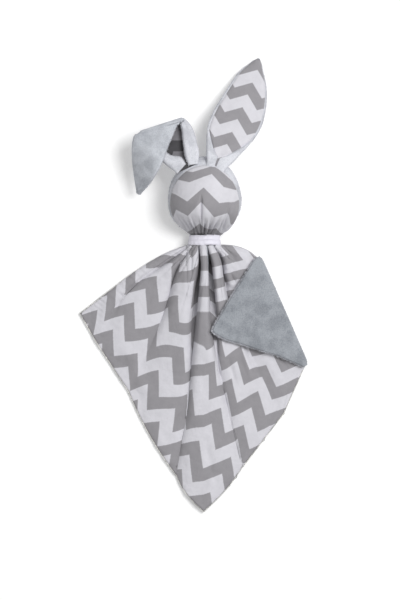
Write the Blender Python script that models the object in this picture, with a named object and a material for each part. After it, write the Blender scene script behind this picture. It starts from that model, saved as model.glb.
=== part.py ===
"""A comfort blanket lovey lying on its back: a square of printed cotton backed with plush, gathered by its
cut top corner into the neck of a small stuffed bunny head. One corner of the blanket is folded over, and
one ear.

+X is to the right of someone looking down on its face, +Y runs towards the ears and +Z is up, off the table.
Lengths are in metres. A table whose name ends in shares holds fractions of the size named beside it.
"""

import math

import bmesh
import bpy
import numpy as np
from mathutils import Matrix, Vector

# Cloth
PRINT_THICKNESS = 0.0012
PLUSH_THICKNESS = 0.0023
LAYER_GAP = 0.0003
PIECE_GAP = 0.0006
FLAT_DEPTH = 0.0005
EDGE_INSET_SHARE = 0.22

# Blanket, measured as it lies
BLANKET_WIDTH = 0.2128
BLANKET_DROP = 0.2524
BLANKET_TIP_Y = -0.2146
FOLD_HEIGHT = 0.009
FOLD_ROUNDNESS = 2.4
NECK_FADE_SHARE = 0.17
BLANKET_ROWS = 16

# Folded corner
FOLD_ROLL = 0.0015
CORNER_DEPTH = 0.067
CORNER_RISE_SHARE = 0.075
CORNER_MARGIN = 0.010
CORNER_ROWS = 14
CORNER_COLUMNS = 6

# Head
HEAD_X = 0.0113
HEAD_WIDTH = 0.0684
HEAD_HEIGHT = 0.060
HEAD_CROWN = 0.0409
HEAD_CHIN = 0.0355
SEAM_RISE = 0.008
SEAM_SLOPE = 0.30
NECK_WIDTH = 0.0258
NECK_HEIGHT = 0.0172
NECK_Z = 0.0125
HEAD_RINGS = 18
HEAD_SEGMENTS = 28

# Neck band
BAND_WIDTH = 0.0083
BAND_THICKNESS = 0.0014
BAND_SEGMENTS = 40

# Ears
EAR_LENGTH = 0.1095
EAR_WIDTH = 0.0469
EAR_EDGE_DROP = 0.0022
EAR_TIP_LIFT = 0.0008
RIGHT_EAR_X = 0.0221
RIGHT_EAR_Y = 0.1126
RIGHT_EAR_LEAN = math.radians(21.8)
LEFT_EAR_X = -0.0046
LEFT_EAR_Y = 0.1122
LEFT_STEM_LENGTH = 0.0465
LEFT_STEM_LEAN = math.radians(-37.1)
LEFT_STEM_FALL = 0.0115
LEFT_STEM_BASE_WIDTH = 0.019
LEFT_STEM_BULGE = 0.003
CREASE_LENGTH = 0.0454
CREASE_TURN = math.radians(17.6)
FLAP_LENGTH = 0.0654
FLAP_LEAN = math.radians(15.8)
FLAP_DROP = 0.031
EAR_COLUMNS = 8
EAR_ROWS = 14

# Worked out from the sizes above
SHEET_THICKNESS = PRINT_THICKNESS + LAYER_GAP + PLUSH_THICKNESS
LYING_THICKNESS = SHEET_THICKNESS - FLAT_DEPTH
NECK_LINE_Y = BLANKET_TIP_Y + BLANKET_DROP
BAND_Y = NECK_LINE_Y + PIECE_GAP
BAND_TOP_Y = BAND_Y + BAND_WIDTH
HEAD_Z = HEAD_HEIGHT / 2 - FLAT_DEPTH
NECK_ANGLE = math.asin((NECK_WIDTH / 2 + BAND_THICKNESS) / (HEAD_WIDTH / 2))
CHIN_Y = BAND_TOP_Y + PIECE_GAP
HEAD_Y = CHIN_Y + HEAD_CHIN * math.cos(NECK_ANGLE)
CORNER_AXIS_Z = LYING_THICKNESS + FOLD_ROLL + LAYER_GAP / 2
BAND_TOP_Z = NECK_Z + NECK_HEIGHT / 2 + LAYER_GAP + BAND_THICKNESS

# The blanket's shape: lines from the neck to the outer edge at these shares of their length. Each point is
# a share of BLANKET_WIDTH to the right of the neck and of BLANKET_DROP below it. The lines between the edges
# are the bottoms of the gathered folds, and the middle one is the crest that ends at the bottom corner.
level_shares = (0.0, 0.17, 0.42, 0.72, 1.0)
left_shoulder_shares = ((-0.070, 0.0), (-0.154, 0.023), (-0.283, 0.084), (-0.426, 0.172), (-0.554, 0.255))
left_crease_shares = ((-0.058, 0.0), (-0.136, 0.050), (-0.261, 0.119), (-0.386, 0.225), (-0.480, 0.364))
left_valley_shares = ((-0.045, 0.0), (-0.118, 0.082), (-0.163, 0.217), (-0.243, 0.383), (-0.337, 0.548))
deep_valley_shares = ((-0.025, 0.0), (-0.022, 0.153), (-0.051, 0.368), (-0.078, 0.612), (-0.127, 0.861))
middle_crest_shares = ((-0.004, 0.0), (0.0, 0.157), (-0.002, 0.375), (-0.002, 0.657), (-0.002, 1.0))
right_valley_shares = ((0.015, 0.0), (0.025, 0.157), (0.047, 0.375), (0.100, 0.590), (0.172, 0.831))
hidden_valley_shares = ((0.040, 0.0), (0.083, 0.112), (0.123, 0.251), (0.225, 0.450), (0.355, 0.631))
right_neck_share = (0.065, 0.0)
fold_start_share = (0.237, 0.044)
fold_end_share = (0.449, 0.452)
fold_start_level_share = 0.25
shoulder_bulge_share = 0.012

# Fold heights down each gore, as shares of FOLD_HEIGHT at the levels above, and the columns across each.
gore_height_shares = (
    (0.20, 0.30, 0.26, 0.16, 0.0),
    (0.25, 0.50, 0.42, 0.20, 0.0),
    (0.30, 0.80, 0.66, 0.36, 0.0),
    (0.33, 1.00, 0.80, 0.46, 0.12),
    (0.30, 0.86, 0.64, 0.30, 0.0),
    (0.25, 0.30, 0.17, 0.14, 0.0),
)
gore_columns = (3, 4, 5, (3, 3), 4, 5)

# The folded corner's free edge: shares of the fold's length along it and of CORNER_DEPTH in from it.
corner_edge_shares = (
    (0.0, 0.03), (0.20, 0.52), (0.385, 0.955), (0.412, 1.0), (0.445, 0.985), (0.528, 0.876),
    (0.588, 0.75), (0.752, 0.441), (0.82, 0.304), (0.963, 0.08), (1.0, 0.03),
)

# An ear lying straight: stations along EAR_LENGTH, and its two half widths as shares of EAR_WIDTH.
ear_station_shares = (0.0, 0.05, 0.16, 0.28, 0.42, 0.56, 0.70, 0.83, 0.93, 0.98, 1.0)
ear_right_shares = (0.22, 0.27, 0.37, 0.475, 0.55, 0.53, 0.445, 0.31, 0.15, 0.07, 0.02)
ear_left_shares = (0.20, 0.25, 0.35, 0.435, 0.445, 0.40, 0.34, 0.27, 0.15, 0.07, 0.02)

# The turned-over part of the left ear: both edges from the crease to the tip, each point a share of FLAP_LENGTH
# along its middle line and of EAR_WIDTH across it.
flap_left_shares = ((0.19, -0.40), (0.33, -0.385), (0.48, -0.335), (0.66, -0.245), (0.86, -0.12), (1.0, -0.02))
flap_right_shares = ((-0.19, 0.405), (0.10, 0.346), (0.35, 0.31), (0.58, 0.275), (0.82, 0.17), (1.0, 0.02))

# The ribbon's section: shares of BAND_WIDTH along the neck and of BAND_THICKNESS out from it.
band_section_shares = (
    (0, 0), (0, 0.8), (0.22, 1.0), (0.44, 0.9), (0.5, 0.66), (0.56, 0.8), (0.8, 0.95), (1, 0.7), (1, 0),
)


def clear_scene():
    """Removes every object that the scene starts with."""
    for item in list(bpy.data.objects):
        bpy.data.objects.remove(item, do_unlink=True)


def linear(channel):
    """A display colour channel as the linear value that a shader takes."""
    return ((channel + 0.055) / 1.055) ** 2.4


def cloth_material(name, display_colour, roughness):
    """A Principled material with a display colour and a roughness."""
    finish = bpy.data.materials.new(name)
    finish.use_nodes = True
    shader = finish.node_tree.nodes["Principled BSDF"]
    shader.inputs["Base Color"].default_value = (*(linear(c) for c in display_colour), 1.0)
    shader.inputs["Roughness"].default_value = roughness
    shader.inputs["Metallic"].default_value = 0.0
    return finish


def smooth(t):
    """0 up to t = 0 and 1 from t = 1, with an even turn between."""
    t = np.clip(t, 0.0, 1.0)
    return t * t * (3.0 - 2.0 * t)


def through(knots, values, t):
    """A smooth curve through values at knots, read at t."""
    knots = np.asarray(knots, float)
    values = np.asarray(values, float)
    t = np.asarray(t, float)
    slopes = np.gradient(values, knots, axis=0)
    i = np.clip(np.searchsorted(knots, t, side="right") - 1, 0, len(knots) - 2)
    spread = (...,) + (None,) * (values.ndim - 1)
    span = (knots[i + 1] - knots[i])[spread]
    w = (t - knots[i])[spread] / span
    rise = w * w * (3 - 2 * w)
    leave = w * (1 - w) ** 2 * span
    arrive = w * w * (w - 1) * span
    return values[i] * (1 - rise) + values[i + 1] * rise + slopes[i] * leave + slopes[i + 1] * arrive


def finished(name, shape, material):
    """Closes a bmesh into a named object with its faces pointing out, shaded smooth."""
    bmesh.ops.recalc_face_normals(shape, faces=shape.faces)
    mesh = bpy.data.meshes.new(name)
    shape.to_mesh(mesh)
    shape.free()
    mesh.shade_smooth()
    mesh.set_sharp_from_angle(angle=math.radians(50))
    mesh.materials.append(material)
    item = bpy.data.objects.new(name, mesh)
    bpy.context.scene.collection.objects.link(item)
    return item


def sheet(name, plan, underside, top, material):
    """A closed solid between two height fields over one grid of plan points, cut into the same triangles."""
    rows, columns = top.shape
    shape = bmesh.new()
    upper, lower = (
        [[shape.verts.new((*plan[i, j], height[i, j])) for j in range(columns)] for i in range(rows)]
        for height in (top, underside)
    )
    for i in range(rows - 1):
        for j in range(columns - 1):
            for side in (upper, lower):
                shape.faces.new((side[i][j], side[i + 1][j], side[i + 1][j + 1]))
                shape.faces.new((side[i][j], side[i + 1][j + 1], side[i][j + 1]))
    border = [(i, 0) for i in range(rows)] + [(rows - 1, j) for j in range(1, columns)]
    border += [(i, columns - 1) for i in range(rows - 2, -1, -1)]
    border += [(0, j) for j in range(columns - 2, 0, -1)]
    for (i, j), (k, m) in zip(border, border[1:] + border[:1]):
        shape.faces.new((upper[i][j], upper[k][m], lower[k][m], lower[i][j]))
    return finished(name, shape, material)


def drawn_in(grid, sides):
    """The grid with its named border rows and columns moved towards their neighbours: the edge is set in."""
    grid = grid.copy()
    for side in sides:
        border, inner = {
            "left": (np.s_[:, 0], np.s_[:, 1]),
            "right": (np.s_[:, -1], np.s_[:, -2]),
            "end": (np.s_[-1, :], np.s_[-2, :]),
        }[side]
        grid[border] = grid[border] * (1 - EDGE_INSET_SHARE) + grid[inner] * EDGE_INSET_SHARE
    return grid


def blanket_point(share):
    """A plan point from its shares of the blanket's width and drop."""
    share = np.asarray(share, float)
    x = HEAD_X + share[..., 0] * BLANKET_WIDTH
    y = NECK_LINE_Y - share[..., 1] * BLANKET_DROP
    return np.stack((x, y), axis=-1)


def right_edge(v):
    """The right shoulder, a shallow bow down to the fold, and then the straight fold to the right corner."""
    neck, start, end = (np.array(s) for s in (right_neck_share, fold_start_share, fold_end_share))
    on_shoulder = np.clip(v / fold_start_level_share, 0, 1)[:, None]
    on_fold = np.clip((v - fold_start_level_share) / (1 - fold_start_level_share), 0, 1)[:, None]
    bow = 4 * on_shoulder * (1 - on_shoulder) * np.array((shoulder_bulge_share, -shoulder_bulge_share))
    return neck + (start - neck) * on_shoulder + bow + (end - start) * on_fold


def blanket_grid():
    """The blanket's plan points and the height of its folds above the lying sheet, row by row."""
    v = np.linspace(0, 1, BLANKET_ROWS + 1) ** 1.25
    nearest = np.abs(v - fold_start_level_share).argmin()
    v[nearest] = fold_start_level_share
    tables = (
        left_shoulder_shares, left_crease_shares, left_valley_shares, deep_valley_shares,
        middle_crest_shares, right_valley_shares, hidden_valley_shares,
    )
    lines = [through(level_shares, table, v) for table in tables] + [right_edge(v)]
    points, folds, across = [lines[0]], [np.zeros_like(v)], [0.0]
    line = 0
    for heights, columns in zip(gore_height_shares, gore_columns):
        halves = columns if isinstance(columns, tuple) else (columns,)
        height = FOLD_HEIGHT * np.clip(through(level_shares, heights, v), 0, None)
        for half, count in enumerate(halves):
            for step in range(1, count + 1):
                t = step / count
                over_gore = (half + t) / len(halves)
                crest = 1 - abs(2 * over_gore - 1) ** FOLD_ROUNDNESS
                points.append(lines[line] * (1 - t) + lines[line + 1] * t)
                folds.append(height * crest)
                across.append(line + t)
            line += 1
    shares = np.stack(points, axis=1)
    plan = blanket_point(shares)
    off_middle = np.clip((plan[:, :, 0] - HEAD_X) / (NECK_WIDTH / 2 + 2 * BAND_THICKNESS), -1, 1)
    arch = NECK_Z + NECK_HEIGHT / 2 * np.sqrt(1 - off_middle**2) - LYING_THICKNESS - FOLD_HEIGHT / 3
    gathered = np.exp(-((v / NECK_FADE_SHARE) ** 1.5))[:, None]
    roll = FOLD_ROLL * np.clip(np.array(across) - (line - 1), 0, 1) ** 2
    roll = roll[None, :] * smooth((v - fold_start_level_share / 2) / (fold_start_level_share / 2))[:, None]
    lift = gathered * arch + np.stack(folds, axis=1) + roll * (1 - gathered)
    return plan, np.minimum(lift, room_below_corner(plan))


def room_below_corner(plan):
    """How high the folds may rise at plan points so that the turned-over corner lies clear on top of them."""
    start, along, inward, length = corner_frame()
    run = (plan - start) @ along
    inside = (plan - start) @ inward
    edge = np.array(corner_edge_shares)
    depth = np.interp(run / length, edge[:, 0], edge[:, 1]) * CORNER_DEPTH
    beyond = np.maximum(np.maximum(-run, run - length), inside - depth)
    return FOLD_ROLL + CORNER_RISE_SHARE * np.clip(inside, 0, None) + np.clip(beyond - CORNER_MARGIN, 0, None)


def corner_frame():
    """The fold's start, its direction, the direction into the blanket and its length, all in plan."""
    start = blanket_point(fold_start_share)
    along = blanket_point(fold_end_share) - start
    length = float(np.hypot(*along))
    along = along / length
    return start, along, np.array((along[1], -along[0])), length


def make_blanket(print_cloth, plush):
    """The blanket's two layers, with the plush flat where it meets the table."""
    plan, folds = blanket_grid()
    start, along, inward, length = corner_frame()
    last_rows = np.abs((plan[:, -1] - start) @ inward) < LAYER_GAP
    plan[last_rows, -1] += inward * LAYER_GAP
    underside = np.maximum(folds - FLAT_DEPTH, 0)
    plush_top = folds - FLAT_DEPTH + PLUSH_THICKNESS
    made = [sheet("blanket_plush_panel", plan, underside, plush_top, plush)]
    sides = ("left", "end")
    plan, underside = drawn_in(plan, sides), drawn_in(plush_top + LAYER_GAP, sides)
    made.append(sheet("blanket_print_panel", plan, underside, underside + PRINT_THICKNESS, print_cloth))
    return made


def make_corner(print_cloth, plush):
    """The corner's two layers, turned over the blanket so that the plush shows."""
    start, along, inward, length = corner_frame()
    edge = np.array(corner_edge_shares)
    run = np.unique(np.concatenate((np.linspace(0, 1, CORNER_ROWS + 1), edge[3:4, 0])))
    depth = np.interp(run, edge[:, 0], edge[:, 1]) * CORNER_DEPTH
    inside = np.linspace(0, 1, CORNER_COLUMNS + 1)[None, :] * (depth - LAYER_GAP)[:, None] + LAYER_GAP
    plan = start + run[:, None, None] * length * along + inside[:, :, None] * inward
    underside = CORNER_AXIS_Z + LAYER_GAP + CORNER_RISE_SHARE * inside
    plush_floor = underside + PRINT_THICKNESS + LAYER_GAP
    made = [sheet("corner_plush_panel", plan, plush_floor, plush_floor + PLUSH_THICKNESS, plush)]
    plan, underside = drawn_in(plan, ("right",)), drawn_in(underside, ("right",))
    made.append(sheet("corner_print_panel", plan, underside, underside + PRINT_THICKNESS, print_cloth))
    return made


def head_rings(inset):
    """Rings from the crown to the neck, not lowered yet: place along Y, half width and half height."""
    angles = np.linspace(0, math.pi - NECK_ANGLE, HEAD_RINGS + 1)[1:]
    reach = np.where(angles < math.pi / 2, HEAD_CROWN, HEAD_CHIN) - inset
    towards_neck = np.clip((angles - math.pi / 2) / (math.pi / 2 - NECK_ANGLE), 0, 1)
    y = HEAD_Y + reach * np.cos(angles)
    half_width = (HEAD_WIDTH / 2 - inset) * np.sin(angles)
    squeeze = 1 - (1 - NECK_HEIGHT / NECK_WIDTH * HEAD_WIDTH / HEAD_HEIGHT) * smooth(towards_neck)
    half_height = (HEAD_HEIGHT / 2 - inset) * np.sin(angles) * squeeze
    rings = list(zip(y, half_width, half_height))
    for end_y in (CHIN_Y - LAYER_GAP, BAND_Y):
        rings.append((end_y, NECK_WIDTH / 2 - inset, NECK_HEIGHT / 2 - inset))
    return HEAD_Y + HEAD_CROWN - inset, rings


def neck_drop(y):
    """How far the head's section is lowered at a place along Y, so that the chin tucks down to the neck."""
    t = np.clip((HEAD_Y - y) / (HEAD_Y - CHIN_Y), 0, 1)
    return (HEAD_Z - NECK_Z) * t**3


def ear_base_z(x, y):
    """The height of an ear's printed side where it leaves the head: two layers lying on the head's crown."""
    along = (y - HEAD_Y) / HEAD_CROWN
    across = (x - HEAD_X) / (HEAD_WIDTH / 2)
    crown = HEAD_Z + HEAD_HEIGHT / 2 * math.sqrt(max(1 - along**2 - across**2, 0))
    return crown + PIECE_GAP + SHEET_THICKNESS


def head_surface(shape, inset, floor):
    """Adds the head's surface, open at the neck and not yet lowered there, and returns its last ring."""
    crown_y, rings = head_rings(inset)
    pole = shape.verts.new((HEAD_X, crown_y, HEAD_Z))
    turns = np.arange(HEAD_SEGMENTS) * 2 * math.pi / HEAD_SEGMENTS
    loops = []
    for y, half_width, half_height in rings:
        x = HEAD_X + half_width * np.sin(turns)
        z = np.maximum(HEAD_Z + half_height * np.cos(turns), floor + neck_drop(y))
        loops.append([shape.verts.new((a, y, b)) for a, b in zip(x, z)])
    for k in range(HEAD_SEGMENTS):
        m = (k + 1) % HEAD_SEGMENTS
        shape.faces.new((pole, loops[0][m], loops[0][k]))
        for near, far in zip(loops, loops[1:]):
            shape.faces.new((near[k], near[m], far[m], far[k]))
    return loops[-1]


def lower_neck(shape):
    """Bends the finished head piece down to the neck's height."""
    for vertex in shape.verts:
        vertex.co.z -= neck_drop(vertex.co.y)


def head_panel(name, side, thickness, material):
    """One half of the head's cover: a shell cut along the seam's slanted plane, with the cut closed."""
    shape = bmesh.new()
    outer = head_surface(shape, 0, 0)
    inner = head_surface(shape, thickness, thickness)
    for k in range(HEAD_SEGMENTS):
        m = (k + 1) % HEAD_SEGMENTS
        shape.faces.new((outer[k], outer[m], inner[m], inner[k]))
    normal = Vector((0, -SEAM_SLOPE, 1)).normalized()
    seam = Vector((HEAD_X, HEAD_Y, HEAD_Z + SEAM_RISE)) + normal * side * LAYER_GAP / 2
    everything = shape.verts[:] + shape.edges[:] + shape.faces[:]
    plane = {"plane_co": seam, "plane_no": normal * side}
    cut = bmesh.ops.bisect_plane(shape, geom=everything, clear_inner=True, **plane)
    rim = [part for part in cut["geom_cut"] if isinstance(part, bmesh.types.BMEdge)]
    bmesh.ops.triangle_fill(shape, edges=rim, use_beauty=True)
    lower_neck(shape)
    return finished(name, shape, material)


def make_head(print_cloth, plush, stuffing):
    """The head's printed front, its plush back and the stuffing that fills them down to the neck."""
    made = [
        head_panel("head_print_panel", 1, PRINT_THICKNESS, print_cloth),
        head_panel("head_plush_panel", -1, PLUSH_THICKNESS, plush),
    ]
    inset = PLUSH_THICKNESS + PIECE_GAP
    shape = bmesh.new()
    shape.faces.new(head_surface(shape, inset, inset))
    lower_neck(shape)
    made.append(finished("head_stuffing", shape, stuffing))
    return made


def make_band(ribbon):
    """The ribbon round the neck: its two-tier section carried round the neck's oval."""
    shape = bmesh.new()
    section = np.array(band_section_shares)
    out = LAYER_GAP + section[:, 1] * BAND_THICKNESS
    y = BAND_Y + section[:, 0] * BAND_WIDTH
    loops = []
    for turn in np.arange(BAND_SEGMENTS) * 2 * math.pi / BAND_SEGMENTS:
        x = HEAD_X + (NECK_WIDTH / 2 + out) * math.sin(turn)
        z = NECK_Z + (NECK_HEIGHT / 2 + out) * math.cos(turn)
        loops.append([shape.verts.new(point) for point in zip(x, y, z)])
    for near, far in zip(loops, loops[1:] + loops[:1]):
        for k in range(len(section)):
            m = (k + 1) % len(section)
            shape.faces.new((near[k], near[m], far[m], far[k]))
    return finished("neck_band", shape, ribbon)


def ear_layers(name, plan, underside, print_up, sides, print_cloth, plush):
    """The two layers of a part of an ear over one grid, the print set in from the plush at the named sides."""
    lower, upper = (PLUSH_THICKNESS, PRINT_THICKNESS) if print_up else (PRINT_THICKNESS, PLUSH_THICKNESS)
    floor = underside + lower + LAYER_GAP
    layers = [(underside, underside + lower, not print_up), (floor, floor + upper, print_up)]
    made = []
    for bottom, top, is_print in layers:
        if is_print:
            label, cloth = f"{name}_print_panel", print_cloth
            grid, bottom, top = (drawn_in(g, sides) for g in (plan, bottom, top))
        else:
            label, cloth, grid = f"{name}_plush_panel", plush, plan
        made.append(sheet(label, grid, bottom, top, cloth))
    return made


def make_right_ear(print_cloth, plush):
    """The straight ear: a leaf of two layers, printed side up, from the head's crown down to the table."""
    knots = np.linspace(0, 1, len(ear_station_shares))
    run = through(knots, ear_station_shares, np.linspace(0, 1, EAR_ROWS + 1))
    right = through(ear_station_shares, ear_right_shares, run) * EAR_WIDTH
    left = through(ear_station_shares, ear_left_shares, run) * EAR_WIDTH
    across = np.linspace(0, 1, EAR_COLUMNS + 1)[None, :]
    offset = -left[:, None] * (1 - across) + right[:, None] * across
    along = np.array((math.sin(RIGHT_EAR_LEAN), math.cos(RIGHT_EAR_LEAN)))
    side = np.array((along[1], -along[0]))
    base = np.array((RIGHT_EAR_X, RIGHT_EAR_Y))
    plan = base + run[:, None, None] * EAR_LENGTH * along + offset[:, :, None] * side
    fall = ear_base_z(RIGHT_EAR_X, RIGHT_EAR_Y) - SHEET_THICKNESS - EAR_TIP_LIFT
    underside = EAR_TIP_LIFT + fall * (1 - run[:, None]) ** 1.15
    edge_drop = np.minimum(EAR_EDGE_DROP, underside - EAR_TIP_LIFT)
    underside = underside - edge_drop * (2 * across - 1) ** 2
    return ear_layers("right_ear", plan, underside, True, ("left", "right", "end"), print_cloth, plush)


def left_stem_frame():
    """The left ear's base point, the direction of its stem and the direction across it to the right, in plan."""
    along = np.array((math.sin(LEFT_STEM_LEAN), math.cos(LEFT_STEM_LEAN)))
    return np.array((LEFT_EAR_X, LEFT_EAR_Y)), along, np.array((along[1], -along[0]))


def crease_frame():
    """The crease's middle point and its direction to the right, in plan."""
    base, along, _ = left_stem_frame()
    return base + along * LEFT_STEM_LENGTH, np.array((math.cos(CREASE_TURN), math.sin(CREASE_TURN)))


def stem_top(points):
    """The height of the flat on which the stem's printed side lies, at plan points."""
    base, along, _ = left_stem_frame()
    fall = LEFT_STEM_FALL * ((points - base) @ along) / LEFT_STEM_LENGTH
    return ear_base_z(LEFT_EAR_X, LEFT_EAR_Y) - fall


def make_left_stem(print_cloth, plush):
    """The lower part of the folded ear, from the head to the crease, printed side up."""
    base, along, side = left_stem_frame()
    crease, crease_along = crease_frame()
    row = np.linspace(0, 1, EAR_ROWS // 2 + 1)[:, None, None]
    across = np.linspace(-1, 1, EAR_COLUMNS + 1)[None, :, None]
    base_line = base + across * side * LEFT_STEM_BASE_WIDTH / 2
    crease_line = crease + across * crease_along * CREASE_LENGTH / 2
    plan = base_line * (1 - row) + crease_line * row
    plan = plan + 4 * row * (1 - row) * across * LEFT_STEM_BULGE * side
    underside = stem_top(plan) - SHEET_THICKNESS
    return ear_layers("left_ear_stem", plan, underside, True, ("left", "right"), print_cloth, plush)


def make_left_flap(print_cloth, plush):
    """The turned-over upper part of the left ear, plush side up, from the crease down beside the head."""
    base, stem_along, stem_side = left_stem_frame()
    crease, crease_along = crease_frame()
    along = np.array((-math.sin(FLAP_LEAN), -math.cos(FLAP_LEAN)))
    side = np.array((-along[1], along[0]))
    run = np.linspace(0, 1, EAR_ROWS + 1)
    knots = np.linspace(0, 1, len(flap_left_shares))
    left = through(knots, flap_left_shares, run)
    right = through(knots, flap_right_shares, run)
    across = np.linspace(0, 1, EAR_COLUMNS + 1)[None, :, None]
    shares = left[:, None, :] * (1 - across) + right[:, None, :] * across
    plan = crease + shares[..., :1] * FLAP_LENGTH * along + shares[..., 1:] * EAR_WIDTH * side
    into = np.array((crease_along[1], -crease_along[0]))
    behind = (plan - crease) @ into
    plan = plan + np.clip(PIECE_GAP - behind, 0, None)[:, :, None] * into
    aside = -((plan - base) @ stem_side)
    tip = crease + FLAP_LENGTH * along
    tip_aside = -float((tip - base) @ stem_side)
    start_aside = LEFT_STEM_BASE_WIDTH
    droop = np.clip((aside - start_aside) / (tip_aside - start_aside), 0, None) ** 1.5
    folded_end = smooth(behind / (CREASE_LENGTH / 2))
    underside = stem_top(plan) + PIECE_GAP - FLAP_DROP * droop * folded_end
    return ear_layers("left_ear_flap", plan, underside, False, ("left", "right", "end"), print_cloth, plush)


def pivot(name, place, parent=None):
    """An empty on a joint's axis, hung on the empty of the body that carries it."""
    marker = bpy.data.objects.new(name, None)
    marker.empty_display_size = EAR_WIDTH
    marker.location = place
    bpy.context.scene.collection.objects.link(marker)
    if parent:
        hang([marker], parent, parent_place=parent["place"])
    marker["place"] = tuple(float(c) for c in place)
    return marker


def hang(items, carrier, parent_place=None):
    """Parents items to a pivot without moving them."""
    place = parent_place or carrier["place"]
    for item in items:
        item.parent = carrier
        item.matrix_parent_inverse = Matrix.Translation(place).inverted()


def main():
    """Builds the pieces and hangs those that move on their pivots."""
    clear_scene()
    print_cloth = cloth_material("printed cotton", (0.76, 0.75, 0.78), 0.85)
    plush = cloth_material("plush", (0.61, 0.63, 0.65), 0.95)
    ribbon = cloth_material("satin ribbon", (0.89, 0.885, 0.92), 0.55)
    stuffing = cloth_material("stuffing", (0.94, 0.94, 0.93), 1.0)

    make_blanket(print_cloth, plush)
    corner = make_corner(print_cloth, plush)
    head = make_head(print_cloth, plush, stuffing) + [make_band(ribbon)]
    right_ear = make_right_ear(print_cloth, plush)
    left_stem = make_left_stem(print_cloth, plush)
    left_flap = make_left_flap(print_cloth, plush)

    start, along, _, length = corner_frame()
    middle = start + along * length / 2
    crease, _ = crease_frame()
    hang(corner, pivot("corner_pivot", (*middle, CORNER_AXIS_Z)))
    neck = pivot("head_pivot", (HEAD_X, NECK_LINE_Y + PIECE_GAP / 2, BAND_TOP_Z + LAYER_GAP))
    hang(head, neck)
    right_place = (RIGHT_EAR_X, RIGHT_EAR_Y, ear_base_z(RIGHT_EAR_X, RIGHT_EAR_Y) + LAYER_GAP)
    left_place = (LEFT_EAR_X, LEFT_EAR_Y, ear_base_z(LEFT_EAR_X, LEFT_EAR_Y) + LAYER_GAP)
    hang(right_ear, pivot("right_ear_pivot", right_place, neck))
    stem = pivot("left_ear_pivot", left_place, neck)
    hang(left_stem, stem)
    hang(left_flap, pivot("left_fold_pivot", (*crease, float(stem_top(crease)) + PIECE_GAP / 2), stem))


main()
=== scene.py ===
"""Looks of a comfort blanket lovey: a gathered square of zigzag cotton and plush with a stuffed bunny head.

Every cloth is a surface worked out from two parameters: how far it runs down from the neck, the crown or a fold,
and how far it runs across. Lengths are in metres, in the frame of the CAD model.
"""

from __future__ import annotations

import logging
import math
from dataclasses import dataclass
from enum import Enum

import bpy
import numpy as np
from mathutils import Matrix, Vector

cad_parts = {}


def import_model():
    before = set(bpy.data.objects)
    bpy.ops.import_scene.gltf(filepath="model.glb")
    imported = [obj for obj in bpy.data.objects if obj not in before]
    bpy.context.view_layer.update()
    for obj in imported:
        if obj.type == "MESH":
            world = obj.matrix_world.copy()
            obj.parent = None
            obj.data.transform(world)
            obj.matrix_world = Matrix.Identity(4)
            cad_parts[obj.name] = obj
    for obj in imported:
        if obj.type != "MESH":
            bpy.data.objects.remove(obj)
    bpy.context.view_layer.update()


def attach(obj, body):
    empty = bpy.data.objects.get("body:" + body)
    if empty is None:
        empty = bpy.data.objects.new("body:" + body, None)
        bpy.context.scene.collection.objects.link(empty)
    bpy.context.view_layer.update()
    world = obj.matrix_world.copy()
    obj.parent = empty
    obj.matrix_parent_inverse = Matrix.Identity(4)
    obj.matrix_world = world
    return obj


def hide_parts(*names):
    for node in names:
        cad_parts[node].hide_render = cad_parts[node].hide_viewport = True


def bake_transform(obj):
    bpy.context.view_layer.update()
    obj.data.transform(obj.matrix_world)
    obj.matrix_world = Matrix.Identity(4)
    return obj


LOG = logging.getLogger("lovey")
Array = np.ndarray
PHOTO_STEP = 0.00095
PHOTO_X, PHOTO_Y = 192.5, 285.3
LAYER_GAP = 0.00012
EAR_WAVE = 0.0293
EAR_PERIOD = 27.3


# ---------------------------------------------------------------- numbers and curves


def smooth(t: Array) -> Array:
    """0 up to t = 0 and 1 from t = 1, with an even turn between."""
    t = np.clip(t, 0.0, 1.0)
    return t * t * (3.0 - 2.0 * t)


def through(knots: object, values: object, t: Array) -> Array:
    """A smooth curve through values at knots: a cubic on each span, with slopes taken from the neighbours.

    Args:
        knots: where each value stands.
        values: one row for each knot.
        t: the places to read.

    Returns:
        The values at t.
    """
    knots, values, t = np.asarray(knots, float), np.asarray(values, float), np.asarray(t, float)
    slopes = np.gradient(values, knots, axis=0)
    i = np.clip(np.searchsorted(knots, t, side="right") - 1, 0, len(knots) - 2)
    spread = (...,) + (None,) * (values.ndim - 1)
    span = (knots[i + 1] - knots[i])[spread]
    w = (t - knots[i])[spread] / span
    rise = w * w * (3 - 2 * w)
    leave = w * (1 - w) ** 2 * span
    arrive = w * w * (w - 1) * span
    return values[i] * (1 - rise) + values[i + 1] * rise + slopes[i] * leave + slopes[i + 1] * arrive


def ripple(points: Array, size: float, seed: int) -> Array:
    """Smooth unevenness between -1 and 1: random values on a square lattice, blended evenly between its corners.

    Args:
        points: places, two or three numbers each.
        size: the lattice's step.
        seed: which random values.

    Returns:
        One value for each point.
    """
    flat = points[..., :2] / size + 1000.0
    cell = np.floor(flat).astype(np.int64)
    part = smooth(flat - cell)
    table = np.random.default_rng(seed).uniform(-1, 1, (64, 64))

    def corner(i: int, j: int) -> Array:
        """The random value at one corner of each point's cell."""
        return table[(cell[..., 0] + i) % 64, (cell[..., 1] + j) % 64]

    low = corner(0, 0) * (1 - part[..., 0]) + corner(1, 0) * part[..., 0]
    high = corner(0, 1) * (1 - part[..., 0]) + corner(1, 1) * part[..., 0]
    return low * (1 - part[..., 1]) + high * part[..., 1]


def unit(vectors: Array) -> Array:
    """Vectors brought to length 1."""
    return vectors / np.maximum(np.linalg.norm(vectors, axis=-1, keepdims=True), 1e-12)


def grid_normals(points: Array) -> Array:
    """Normals of a grid of points: the cross product of its two tangents, pointing up where rows run to -Y."""
    down, across = np.gradient(points, axis=0), np.gradient(points, axis=1)
    return unit(np.cross(down, across))


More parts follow.
